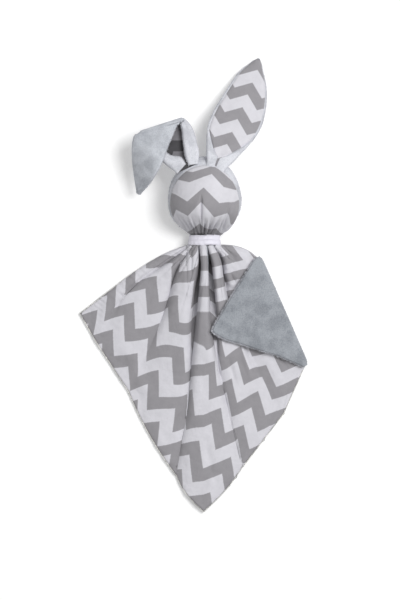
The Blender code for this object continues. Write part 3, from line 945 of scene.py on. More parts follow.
    def surface(self) -> tuple[Array, Array, Array]:
        """Works out the middle of the blanket's two layers.

        Returns:
            The points and the pattern places, row by row from the neck, and each column's share of the plush's
            thickness, which is pressed thin in the pleats.
        """
        v = self.down()
        plan, cloth_at, tall = self.bounds(v)
        parts = []
        for span in self.spans:
            xy, z, uv = self.fold(span, plan, cloth_at, tall[span.fold], v)
            thick = np.ones((1, span.columns))
            if span.first in (4, 7):
                t = np.linspace(0, 1, span.columns, endpoint=False)[None, :]
                last = self.pleats[span.first - 1][2]
                z = np.maximum(z, self.foot(v, last)[:, None] * (1 - smooth(t * 5)))
                thick = 0.14 + 0.86 * smooth(t * 2)
            parts.append((xy, z, uv, thick))
            if span.second in self.pleats:
                xy, z, uv = self.pleat(span.second, plan, cloth_at, v)
                parts.append((xy, z, uv, np.full((1, xy.shape[1]), 0.14)))
        parts.append((plan[-1][:, None], np.zeros((self.rows, 1)), cloth_at[-1][:, None], np.ones((1, 1))))
        xy, z, uv, thick = (np.concatenate(group, axis=1) for group in zip(*parts))
        return self.relief(v, xy, z, uv), uv, thick

    def relief(self, v: Array, xy: Array, z: Array, uv: Array) -> Array:
        """Adds the arch of the gathers at the neck, unevenness, wrinkles and puckers to the fold heights.

        Args:
            v: each row's share of the way down.
            xy: the cloth's plan points.
            z: the folds' heights.
            uv: the cloth places.

        Returns:
            The points of the cloth's middle.
        """
        off = np.clip((xy[:, :, 0] - self.neck_x) / 0.0157, -1, 1)
        arch = 0.0125 + 0.0086 * np.sqrt(1 - off**2) - 0.0063
        gathered = np.exp(-((v / 0.17) ** 1.5))[:, None]
        cloth_at = uv * np.array((ZigzagCotton.wave, ZigzagCotton.period))
        steps = np.linalg.norm(np.diff(xy, axis=1), axis=2)
        run = np.concatenate((np.zeros((len(v), 1)), np.cumsum(steps, axis=1)), axis=1)
        turn = np.arctan2(xy[..., 0] - self.neck_x, self.neck_y + 0.012 - xy[..., 1])
        spokes = np.stack((turn * 0.30, np.broadcast_to(v[:, None] * 0.10, run.shape)), axis=-1)
        uneven = ripple(spokes, 0.034, 5)
        pleats = ripple(spokes, 0.052, 3) * 0.0016 + uneven * 0.0008 - 0.0020 * np.exp(-((uneven / 0.16) ** 2))
        raised = 0.35 + 0.65 * smooth(z / 0.0045)
        lift = z + gathered * arch * raised + (pleats + 0.0012) * np.exp(-((v[:, None] / 0.26) ** 1.5))
        soft = ripple(xy, 0.030, 11) * 0.0012 + ripple(xy, 0.013, 12) * 0.0005 + ripple(cloth_at, 0.006, 13) * 0.00012
        lift += soft * smooth(v * 3)[:, None]
        edge = edge_distance(np.dstack((xy, lift)), ("left", "bottom"))
        pucker = ripple(np.stack((run + v[:, None] * 0.3, edge * 0.4), axis=-1), 0.005, 21)
        lift += pucker * 0.0006 * np.exp(-edge / 0.007)
        lift += self.wrinkles(xy) * smooth(edge / 0.004)
        lift = self.pressed(xy, lift)
        return np.dstack((xy, np.clip(lift, 0, None) + self.plush_thickness))

    def pressed(self, xy: Array, lift: Array) -> Array:
        """Heights of the cloth kept low beneath the turned-over corner, which rises evenly from the fold.

        Args:
            xy: the cloth's plan points.
            lift: its heights.

        Returns:
            The heights, none above the room under the corner.
        """
        start, end = self.point(self.fold_start), self.point(self.fold_end)
        along = unit(end - start)
        inward = np.array((along[1], -along[0]))
        inside, past = (xy - start) @ inward, (xy - start) @ along
        covered = np.interp(past / self.fold_length, *zip(*TurnedCorner.edge)) * TurnedCorner.depth + 0.0015
        beside = np.maximum(-past, past - self.fold_length)
        below = smooth(1 - beside / 0.01) * smooth(1 - (inside - covered) / 0.005)
        room = 0.0003 + 0.072 * np.clip(inside, 0, None)
        return np.where(below > 0, np.minimum(lift, room * below + lift * (1 - below)), lift)

    def wrinkles(self, xy: Array) -> Array:
        """Single wrinkles: each a ridge, or a groove where its height is below 0, along a line between two places.

        Args:
            xy: the cloth's plan points.

        Returns:
            The wrinkles' height at each.
        """
        marks = (
            ((153, 268), (122, 295.5), -0.0022, 0.0020), ((150, 275), (118, 304), 0.0020, 0.0040),
            ((122, 296), (112, 314), -0.0024, 0.0022), ((110, 296), (104, 320), 0.0014, 0.0040),
            ((192.3, 251), (191.6, 277), -0.0020, 0.0012), ((187, 262), (185, 292), 0.0012, 0.0030),
            ((187, 248), (170, 259), -0.0018, 0.0014), ((180, 262), (172, 282), -0.0020, 0.0016),
            ((217, 249), (223, 261), -0.0022, 0.0012), ((212.5, 248), (217, 256), -0.0018, 0.0010),
            ((219.5, 254), (226.5, 292), -0.0060, 0.0018), ((226, 262), (232, 284), 0.0022, 0.0020),
            ((228, 270), (236, 284), -0.0018, 0.0011), ((232, 268), (243, 280), -0.0016, 0.0012),
            ((225, 272), (232, 286), 0.0014, 0.0016), ((236, 272), (244, 284), 0.0014, 0.0016),
            ((243, 350), (251, 377), 0.0018, 0.0026), ((248, 346), (256, 372), -0.0016, 0.0016),
            ((236, 384), (229, 360), -0.0014, 0.0020), ((276, 352), (287, 367), -0.0015, 0.0016),
            ((266, 360), (282, 384), 0.0010, 0.0040), ((214, 470), (206, 500), 0.0014, 0.0035),
            ((171, 300), (152, 352), 0.0012, 0.0060), ((205, 440), (214, 480), -0.0012, 0.0035),
            ((262, 428), (240, 462), 0.0010, 0.0050), ((120, 335), (150, 400), 0.0011, 0.0060),
            ((184, 420), (176, 470), -0.0016, 0.0022), ((150, 420), (172, 462), 0.0010, 0.0050),
            ((196, 296), (194, 345), -0.0010, 0.0016), ((222, 392), (231, 420), -0.0014, 0.0018),
        )
        total = np.zeros(xy.shape[:2])
        for first, last, height, width in marks:
            a, b = photo(*first), photo(*last)
            way = b - a
            t = np.clip(((xy - a) @ way) / (way @ way), 0, 1)
            away = np.linalg.norm(xy - (a + t[..., None] * way), axis=-1)
            total += height * np.exp(-((away / width) ** 2)) * np.sin(math.pi * np.clip(t, 0.08, 0.92)) ** 0.5
        return total

    def build(self) -> None:
        """Makes the cotton, the plush under it and the plush's pile along the edge."""
        middle, uv, thick = self.surface()
        normals = grid_normals(middle)
        round_off = rounded(edge_distance(middle, ("left", "bottom")), 0.0024)[..., None]
        drop = np.array((0, 0, 0.0005)) * (1 - round_off)
        top = middle + normals * self.cotton_thickness * round_off - drop
        cotton = cloth("blanket_cotton", top, middle + normals * LAYER_GAP - drop * 1.3, uv)
        self.finish_sheet(cotton, Finish.PRINT, "blanket_print_panel")
        self.build_plush(middle, normals, uv, thick)

    def finish_sheet(self, item: bpy.types.Object, finish: Finish, node: str) -> None:
        """Dresses a blanket layer, hides the CAD node that it stands for and bakes its transform into the mesh.

        Args:
            item: the layer.
            finish: its finish.
            node: the CAD node that it stands for.
        """
        self.wardrobe.dress(item, finish)
        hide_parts(node)
        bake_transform(item)

    def build_plush(self, middle: Array, normals: Array, uv: Array, thick: Array) -> None:
        """The plush layer: it lies under the cotton, stands 0.4 mm out beyond it and is flat on the table.

        Args:
            middle: the points between the two layers.
            normals: their normals.
            uv: their cloth places.
            thick: each column's share of the thickness.
        """
        distance = edge_distance(middle, ("left", "bottom"))
        outward = np.zeros_like(middle)
        outward[:, 0] = unit(middle[:, 0] - middle[:, 2])
        outward[-1, :] = unit(middle[-1, :] - middle[-3, :])
        outward[-1, 0] = unit(outward[-1, 0] + outward[-2, 0])
        upper = middle - normals * LAYER_GAP + outward * 0.0004
        round_off = rounded(distance + 0.0002, 0.0026)[..., None]
        upper = upper - np.array((0, 0, 0.0005)) * (1 - round_off)
        lower = upper - normals * self.plush_thickness * thick[..., None] * (0.45 + 0.55 * round_off)
        lower[..., 2] = np.clip(lower[..., 2], 0.0, None)
        backing = cloth("blanket_plush_backing", upper, lower, uv)
        self.finish_sheet(backing, Finish.PLUSH, "blanket_plush_panel")
        rim = np.concatenate((upper[:, 0], upper[-1, 1:]))
        out = np.concatenate((outward[:, 0], outward[-1, 1:]))
        self.edge_pile(rim, out)

    def edge_pile(self, rim: Array, out: Array) -> None:
        """Scatters short tufts of pile along the plush rim.

        Args:
            rim: points of the rim.
            out: the way out of the cloth at each.
        """
        step = np.linalg.norm(np.diff(rim, axis=0), axis=1)
        run = np.concatenate(([0.0], np.cumsum(step)))
        random = np.random.default_rng(7)
        spots = np.sort(random.uniform(0.004, run[-1] - 0.004, 16000))
        roots = np.stack([np.interp(spots, run, rim[:, k]) for k in range(3)], axis=-1)
        lean = np.stack([np.interp(spots, run, out[:, k]) for k in range(3)], axis=-1)
        lift = random.uniform(-0.8, 0.9, (len(spots), 1))
        roots = roots - lean * 0.0006 + np.array((0, 0, 0.0006)) + np.array((0, 0, 0.0006)) * lift
        roots[:, 2] = np.clip(roots[:, 2], 0.0004, None)
        tufts = pile("blanket_edge_pile", roots, lean + np.array((0, 0, 1.0)) * (0.7 + 0.6 * lift), 0.0009, 0.00042, 8)
        # The edge pile's near-white colour is painted light along the blanket's edge.
        self.wardrobe.dress(tufts, Finish.LIT_EDGE_PLUSH)
        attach(tufts, "blanket")


# ---------------------------------------------------------------- the turned-over corner


@dataclass
class TurnedCorner:
    """The corner folded over the blanket: a roll along the fold, then plush side up to the free edge."""

    wardrobe: Wardrobe
    axis_z: float = 0.00495
    rise: float = 0.075
    depth: float = 0.067
    roll_radius: float = 0.0021

    edge = (
        (0.0, 0.03), (0.20, 0.52), (0.385, 0.955), (0.412, 1.0), (0.445, 0.985), (0.528, 0.876),
        (0.588, 0.75), (0.752, 0.441), (0.82, 0.304), (0.963, 0.08), (1.0, 0.03),
    )

    def build(self) -> None:
        """Makes the plush, its lining of cotton and the pile over both its face and its edge."""
        home = Blanket(self.wardrobe)
        start, end = home.point(home.fold_start), home.point(home.fold_end)
        length = float(np.linalg.norm(end - start))
        along = (end - start) / length
        inward = np.array((along[1], -along[0]))
        table = np.array(self.edge)
        run = np.linspace(0, 1, 171)
        depth = np.interp(run, table[:, 0], table[:, 1]) * self.depth
        turn = np.linspace(-math.pi / 2, math.pi / 2, 12)
        bend_x = -self.roll_radius * np.cos(turn)
        bend_z = self.axis_z + 0.0005 + self.roll_radius * np.sin(turn)
        taper = smooth(np.minimum(run, 1 - run) / 0.05)[:, None]
        flat = np.linspace(0, 1, 60)[None, 1:] ** 0.85 * depth[:, None]
        inside = np.concatenate((bend_x[None, :] * (0.35 + 0.65 * taper), flat), axis=1)
        height = np.concatenate((np.broadcast_to(bend_z, (len(run), 12)), bend_z[-1] + self.rise * flat), axis=1)
        plan = start + run[:, None, None] * length * along + inside[..., None] * inward
        soft = 0.0008 + ripple(plan, 0.022, 31) * 0.0006 + ripple(plan, 0.009, 32) * 0.0002
        free = smooth((inside - 0.004) / 0.02)
        points = np.dstack((plan, height + soft * free))
        points = points[:, ::-1]
        normals = grid_normals(points)
        distance = edge_distance(points, ("left",))
        round_off = rounded(distance, 0.003)[..., None]
        uv = points[..., :2] / ZigzagCotton.wave
        top = points + normals * 0.0019 * (0.35 + 0.65 * round_off)
        plush = cloth("corner_plush_cover", top[:, ::-1], (points - normals * 0.0003)[:, ::-1], uv)
        upper, under = points - normals * 0.0004, points - normals * 0.0014
        lining = cloth("corner_cotton_lining", upper[:, :1:-1], under[:, :1:-1], uv[:, 2:])
        for item, finish, node, rests in (
            (plush, Finish.PLUSH, "corner_plush_panel", ["corner_cotton_lining"]),
            (lining, Finish.PRINT, "corner_print_panel", ["blanket_cotton"]),
        ):
            self.wardrobe.dress(item, finish)
            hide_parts(node)
            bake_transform(item)
        self.build_pile(top, normals)

    def build_pile(self, top: Array, normals: Array) -> None:
        """Tufts over the plush face, thicker and longer along the free edge, where they stand out sideways.

        Args:
            top: the plush face's points.
            normals: their normals.
        """
        random = np.random.default_rng(41)
        rows = top.shape[0]
        face = np.linalg.norm(np.cross(top[1:, :-1] - top[:-1, :-1], top[:-1, 1:] - top[:-1, :-1]), axis=-1)
        face[:, -13:] *= 0.6
        share = np.cumsum(face.ravel()) / face.sum()
        pick = np.searchsorted(share, random.uniform(0, 1, 9000))
        i, j = np.unravel_index(np.clip(pick, 0, face.size - 1), face.shape)
        part = random.uniform(0, 1, (len(i), 2, 1))
        roots = top[i, j] + (top[i + 1, j] - top[i, j]) * part[:, 0] + (top[i, j + 1] - top[i, j]) * part[:, 1]
        lean = normals[i, j] + random.normal(0, 0.5, (len(i), 3))
        out = unit(top[:, 0] - top[:, 3])
        rim_pick = random.integers(1, rows - 1, 2600)
        rim = top[rim_pick, 0] + random.normal(0, 0.0005, (2600, 3)) - np.array((0, 0, 0.0006))
        rim_lean = out[rim_pick] + np.array((0, 0, 1.0)) * random.uniform(-0.5, 0.6, (2600, 1))
        low, high = Vector(top[0, -1]), Vector(top[0, -1])
        low.z, high.z = self.axis_z - 0.0012, self.axis_z + 0.0018
        for tufts, finish in (
            (pile("corner_pile", roots - normals[i, j] * 0.0002, lean, 0.0008, 0.00030, 42), Finish.PLUSH),
            (pile("corner_edge_pile", rim, rim_lean, 0.0014, 0.00040, 43), Finish.PALE_PLUSH),
        ):
            self.wardrobe.dress(tufts, finish)
            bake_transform(tufts)


# ---------------------------------------------------------------- head


@dataclass
class Head:
    """The stuffed head: an egg cut by a slanted seam into a printed face and a plush back, tucked in at the neck."""

    wardrobe: Wardrobe
    x: float = 0.0113
    y: float = 0.0795
    z: float = 0.0295
    half_width: float = 0.0342
    crown: float = 0.0409
    chin: float = 0.0355
    half_height: float = 0.030
    seam_rise: float = 0.008
    seam_slope: float = 0.30
    chin_y: float = 0.0473
    neck_z: float = 0.0125
    turns: int = 300
    rings: int = 96
    crease_depth: float = 1.7
    crease_width: float = 1.1
    photo_x: float = 204.4

    bands = (
        ((176, 176), (184, 173), (193, 174.5), (214.6, 167.8), (231.5, 183.2), (238, 190)),
        ((168, 178), (179.5, 182.3), (189.6, 184.9), (211.4, 176.7), (223.3, 189.7), (240, 193)),
        ((165, 190), (175.4, 195.7), (187.5, 203.4), (203.5, 189.8), (218.9, 205), (233.6, 203.2), (242, 199)),
        ((165, 222), (173, 220), (176.4, 211.2), (188.1, 217.8), (201, 204.3), (213.8, 219.2), (226.7, 214.9),
         (228.6, 217), (230, 226), (240, 223)),
        ((165, 238), (184, 234), (192, 230), (199.5, 224.5), (205, 229), (211, 230), (216, 229), (220, 233),
         (238, 238)),
        ((165, 244), (186, 243), (200, 240), (216, 243), (238, 244)),
    )
    creases = (
        (172, 210, 187, 236, 0.0014), (177, 214, 191, 236, 0.0022), (185, 219, 194, 236, 0.0026),
        (192, 223, 198, 236, 0.0018), (207, 219, 203.5, 236, 0.0026), (213, 224, 207, 236, 0.0016),
        (221, 217, 210.5, 236, 0.0028), (228, 210, 217, 235, 0.0016), (231, 204, 224, 232, 0.0020),
    )

    def egg(self, ways: Array, grow: float = 0.0) -> Array:
        """The head's surface along directions from its centre, before the neck is lowered.

        The distance is 1 over the root of the sum of the squared shares of the three half axes; the half axis along
        -Y is the chin's, and the height shrinks towards the neck.

        Args:
            ways: the directions.
            grow: how much longer each half axis is.

        Returns:
            The points.
        """
        length = np.where(ways[..., 1] > 0, self.crown, self.chin) + grow
        shares = np.stack((ways[..., 0] / (self.half_width + grow), ways[..., 1] / length), axis=-1)
        tall = ways[..., 2] / (self.half_height + grow)
        reach = 1 / np.sqrt((shares**2).sum(axis=-1) + tall**2)
        points = ways * reach[..., None]
        towards = np.clip(-points[..., 1] / self.chin, 0, 1)
        points[..., 2] *= 1 - 0.24 * smooth((towards - 0.35) / 0.6)
        return points

    def seam_angle(self, turn: Array) -> Array:
        """How far from straight up the slanted seam plane lies in each direction round the face's middle.

        Args:
            turn: the directions, as angles.

        Returns:
            The angle from straight up at each.
        """
        low, high = np.zeros_like(turn), np.full_like(turn, 2.6)
        for _ in range(40):
            middle = (low + high) / 2
            ways = self.ways(middle, turn)
            points = self.egg(ways)
            above = points[..., 2] > self.seam_rise + self.seam_slope * points[..., 1]
            low, high = np.where(above, middle, low), np.where(above, high, middle)
        return (low + high) / 2

    @staticmethod
    def ways(angle: Array, turn: Array) -> Array:
        """Directions at an angle from straight up, turned about it."""
        across = np.sin(angle)
        return np.stack((across * np.sin(turn), across * np.cos(turn), np.cos(angle)), axis=-1)

    def relief(self, points: Array) -> Array:
        """How far the cloth stands in or out: the dart, the gathers at the neck and soft unevenness.

        Each drawn crease is a line in the plan that deepens towards the neck.

        Args:
            points: points of the plain egg.

        Returns:
            The distance outwards at each.
        """
        x, y = points[..., 0], points[..., 1]
        face = smooth(points[..., 2] / 0.010)
        dart_x = -0.0030
        dart = -0.0026 * np.exp(-(((x - dart_x) / 0.0009) ** 2)) * smooth((0.006 - y) / 0.010) * face
        beside = 0.0007 * np.exp(-(((np.abs(x - dart_x) - 0.0040) / 0.0028) ** 2)) * smooth((0.004 - y) / 0.012) * face
        round_neck = np.arctan2(x, points[..., 2] + 0.001)
        near = smooth((-y - 0.010) / 0.018)
        spokes = np.stack((round_neck * 0.05, y * 0.05), axis=-1)
        uneven = ripple(spokes, 0.0068, 51)
        gathers = (uneven * 0.0016 - 0.0030 * np.exp(-((uneven / 0.26) ** 2)) * near) * near
        left, top, right, bottom, depth = np.array(self.creases).T
        grid_x, grid_y = photo_grid(x[..., None] + self.x, y[..., None] + self.y)
        run = (grid_y - top) / (bottom - top)
        aside = grid_x - left - (right - left) * run
        shape = np.exp(-((aside / self.crease_width) ** 2))
        drawn = self.crease_depth * (depth * smooth(run / 0.8) * shape).sum(axis=-1)
        gathers = gathers - drawn * face
        soft = ripple(np.stack((x, y + points[..., 2]), axis=-1), 0.017, 53) * 0.0004
        return dart + beside + gathers + soft

    def lower(self, points: Array) -> Array:
        """Moves points into the frame, tucks the chin down to the neck and sets the back on the table.

        Args:
            points: points about the head's centre.

        Returns:
            The points in the frame.
        """
        y = points[..., 1] + self.y
        t = np.clip((self.y - y) / (self.y - self.chin_y), 0, 1.1)
        z = points[..., 2] + self.z - (self.z - self.neck_z) * t**3
        return np.stack((points[..., 0] + self.x, y, np.maximum(z, 0.0006)), axis=-1)

    def face_pattern(self, points: Array) -> Array:
        """Pattern steps over the head, where the bands run as the gathers and the dart draw them.

        Each band's edge is a bent line across the face. The band at a place is worked out from how far it lies
        between two edges, half a step each, and the zigzag's own height is taken off it.

        Args:
            points: points of the head, X from its middle.

        Returns:
            The pattern places.
        """
        across, down = points[..., 0] / PHOTO_STEP + self.photo_x, PHOTO_Y - points[..., 1] / PHOTO_STEP
        edges = np.stack([np.interp(across, *zip(*line)) for line in self.bands])
        gaps = np.diff(edges, axis=0)
        shares = np.clip((down[None] - edges[:-1]) / np.maximum(gaps, 1.0), 0, 1)
        above = np.clip((edges[0] - down) / 40, 0, 0.45)
        band = 4.0 + above - 0.5 * shares.sum(axis=0)
        steps = points[..., 0] / ZigzagCotton.wave
        zigzag = 1 - np.abs(2 * (steps - np.floor(steps)) - 1)
        return np.stack((steps, band - ZigzagCotton.zigzag_height * zigzag), axis=-1)

    def panel(self, front: bool) -> tuple[Array, Array, Array]:
        """One half of the cover as rings from its middle out to the seam.

        Args:
            front: whether it is the printed face, and otherwise the plush back.

        Returns:
            The outer points, their normals and the pattern places.
        """
        turn = np.linspace(0, math.tau, self.turns + 1)[None, :]
        seam = self.seam_angle(turn)
        ring = (np.linspace(0.004, 1, self.rings) ** 0.9)[:, None]
        angle = ring * seam if front else math.pi - ring * (math.pi - seam)
        ways = self.ways(angle, np.broadcast_to(turn, angle.shape))
        base = self.egg(ways)
        normals = unit(base / np.array((self.half_width, self.crown, self.half_height)) ** 2)
        groove = 0.0011 * np.exp(-((1 - ring) * 30) ** 2) * (1 if front else 0.8)
        points = base + normals * (self.relief(base) - groove)[..., None]
        placed = self.lower(points)
        return placed, normals, self.face_pattern(placed - np.array((self.x, 0, 0)))

    def build(self) -> None:
        """Makes the face, the back, the stuffing between them and the stitched seam."""
        made = {}
        for front, name, thickness in ((True, "head_cotton_face", 0.0011), (False, "head_plush_back", 0.0020)):
            points, normals, uv = self.panel(front)
            inner = points - normals * thickness
            made[name] = self.disc(name, points, inner, uv, front)
            if front:
                rim, rim_out = points[-1], normals[-1]
        stuffing = self.stuffing()
        for item, finish, node in (
            (made["head_cotton_face"], Finish.PRINT, "head_print_panel"),
            (made["head_plush_back"], Finish.PALE_PLUSH, "head_plush_panel"),
            (stuffing, Finish.STUFFING, "head_stuffing"),
        ):
            self.wardrobe.dress(item, finish)
            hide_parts(node)
            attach(item, "head")
        keep = rim[:, 1] > self.chin_y + 0.004
        order = np.flatnonzero(keep)
        order = np.concatenate((order[order > len(rim) // 2], order[order <= len(rim) // 2]))
        rim, rim_out = rim[order], rim_out[order]
        seam = stitches("head_seam_stitches", rim + rim_out * 0.0001, rim_out, 0.0012, 0.0016, 0.00022)
        self.wardrobe.dress(seam, Finish.THREAD)
        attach(seam, "head")
        self.seam_pile()

    def seam_pile(self) -> None:
        """Tufts of the plush back that stand up along the seam and over the crown behind it."""
        random = np.random.default_rng(61)
        points, normals, _ = self.panel(False)
        rows = random.integers(self.rings // 2, self.rings - 1, 9000)
        columns = random.integers(0, self.turns, 9000)
        part = random.uniform(0, 1, (9000, 1))
        roots = points[rows, columns] * (1 - part) + points[rows, columns + 1] * part
        keep = (roots[:, 1] > self.chin_y + 0.006) & (roots[:, 2] > 0.004)
        lean = normals[rows, columns] + random.normal(0, 0.45, (9000, 3))
        tufts = pile("head_pile", (roots - normals[rows, columns] * 0.0002)[keep], lean[keep], 0.0011, 0.00036, 62)
        self.wardrobe.dress(tufts, Finish.PALE_PLUSH)
        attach(tufts, "head")

    def disc(self, name: str, outer: Array, inner: Array, uv: Array, front: bool) -> bpy.types.Object:
        """A closed shell from rings of outer and inner points, with a cap over the small hole in the middle.

        Args:
            name: the piece's name.
            outer: the outer rings.
            inner: the inner rings.
            uv: their pattern places.
            front: whether the shell faces up.

        Returns:
            The object.
        """
        rows, columns = outer.shape[0], outer.shape[1] - 1
        outer, inner, uv = outer[:, :-1], inner[:, :-1], uv[:, :-1]
        count = rows * columns
        middles = np.stack((outer[0].mean(axis=0), inner[0].mean(axis=0)))
        points = np.concatenate((outer.reshape(-1, 3), inner.reshape(-1, 3), middles))
        i, j = np.meshgrid(np.arange(rows - 1), np.arange(columns), indexing="ij")
        a, b = (i * columns + j).ravel(), (i * columns + (j + 1) % columns).ravel()
        skin = np.stack((a, b, b + columns, a + columns), axis=1)
        k = np.arange(columns)
        m = (k + 1) % columns
        last = (rows - 1) * columns
        rim = np.stack((last + k, last + m, last + m + count, last + k + count), axis=1)
        top = np.full(columns, 2 * count)
        cap = np.stack((top, m, k, k), axis=1)
        cap_in = np.stack((top + 1, k + count, m + count, m + count), axis=1)
        caps = np.concatenate((cap, cap_in))[:, [0, 2, 1, 1]]
        faces = np.concatenate((skin[:, ::-1], skin + count, rim[:, ::-1], caps))
        if not front:
            faces = faces[:, ::-1]
            three = faces[:, 0] == faces[:, 1]
            faces[three] = faces[three][:, [1, 2, 3, 3]]
        flat, middle = uv.reshape(-1, 2), uv[0].mean(axis=0)[None]
        return mesh_object(name, points, faces, np.concatenate((flat, flat, middle, middle)))

    def stuffing(self) -> bpy.types.Object:
        """The stuffing: the same egg, 3 mm smaller and 9 mm at the gathers, with lumps of fibre.

        Returns:
            The object.
        """
        rows, columns = 40, 64
        angle = np.linspace(0.01, math.pi - 0.01, rows)[:, None]
        turn = (np.arange(columns) * math.tau / columns)[None, :]
        ways = self.ways(np.broadcast_to(angle, (rows, columns)), np.broadcast_to(turn, (rows, columns)))
        base = self.egg(ways, -0.0034)
        lumps = ripple(np.stack((base[..., 0], base[..., 1] + base[..., 2]), axis=-1), 0.008, 55) * 0.0003
        sunk = 0.0060 * smooth((-base[..., 1] - 0.003) / 0.012)
        points = self.lower(base + ways * (lumps - sunk)[..., None])
        points[..., 2] = np.maximum(points[..., 2], 0.0038)
        count = rows * columns
        i, j = np.meshgrid(np.arange(rows - 1), np.arange(columns), indexing="ij")
        a, b = (i * columns + j).ravel(), (i * columns + (j + 1) % columns).ravel()
        k = np.arange(columns)
        m = (k + 1) % columns
        ends = np.stack((points[0].mean(axis=0), points[-1].mean(axis=0)))
        skin = np.stack((a, a + columns, b + columns, b), axis=1)
        cap = np.stack((np.full(columns, count), k, m, m), axis=1)
        last = count - columns
        foot = np.stack((np.full(columns, count + 1), last + m, last + k, last + k), axis=1)
        points = np.concatenate((points.reshape(-1, 3), ends))
        return mesh_object("head_fibre_fill", points, np.concatenate((skin, cap, foot)))


# ---------------------------------------------------------------- neck ribbon


@dataclass
class NeckRibbon:
    """The ribbon tied round the gathers: two turns lying one above the other, creased where they are drawn tight."""

    wardrobe: Wardrobe
    x: float = 0.0113
    z: float = 0.0125
    half_width: float = 0.0140
    half_height: float = 0.0098
    bottom: float = 0.0376
    top: float = 0.0474

    def build(self) -> None:
        """Makes both turns as closed rings with a rounded section."""
        span = self.top - self.bottom
        turns = (
            ("neck_ribbon_upper", self.bottom + span * 0.40, self.top, 0.0, 0.0),
            ("neck_ribbon_lower", self.bottom, self.bottom + span * 0.55, 0.0007, 0.25),
        )
        for name, low, high, out, phase in turns:
            ribbon = self.ring(name, low, high, out, phase)
            self.wardrobe.dress(ribbon, Finish.RIBBON)
            if name.endswith("upper"):
                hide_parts("neck_band")
            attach(ribbon, "head")

    def ring(self, name: str, low: float, high: float, out: float, phase: float) -> bpy.types.Object:
        """A ribbon ring: an oval loop whose section is a flattened oval, with creases round it.

        Args:
            name: the piece's name.
            low: its lower edge along Y.
            high: its upper edge along Y.
            out: how far it stands off the neck.
            phase: shifts its creases.

        Returns:
            The object.
        """
        turn = (np.arange(240) * math.tau / 240)[:, None]
        around = (np.arange(28) * math.tau / 28)[None, :]
        middle, half = (low + high) / 2, (high - low) / 2
        crease = ripple(np.dstack((turn + phase + 0 * around, 0.35 * np.cos(around) + 0 * turn)), 0.16, 71) * 0.00028
        wander = ripple(np.dstack((turn + 0 * around, turn * 0 + phase + 0 * around)), 0.9, 72) * 0.0004
        stand = out + 0.0009 * np.sin(around) + crease
        y = middle + half * np.sign(np.cos(around)) * np.abs(np.cos(around)) ** 0.55 + wander
        x = self.x + (self.half_width + stand) * np.sin(turn)
        z = self.z + (self.half_height + stand) * np.cos(turn)
        points = np.dstack((x, y + 0 * x, z)).reshape(-1, 3)
        i, j = np.meshgrid(np.arange(240), np.arange(28), indexing="ij")
        m, n = (i + 1) % 240, (j + 1) % 28
        faces = np.stack((i * 28 + j, m * 28 + j, m * 28 + n, i * 28 + n), axis=-1).reshape(-1, 4)
        uv = np.dstack((turn * 3 + 0 * around, np.cos(around) + 0 * turn)).reshape(-1, 2)
        return mesh_object(name, points, faces, uv)


# ---------------------------------------------------------------- ears


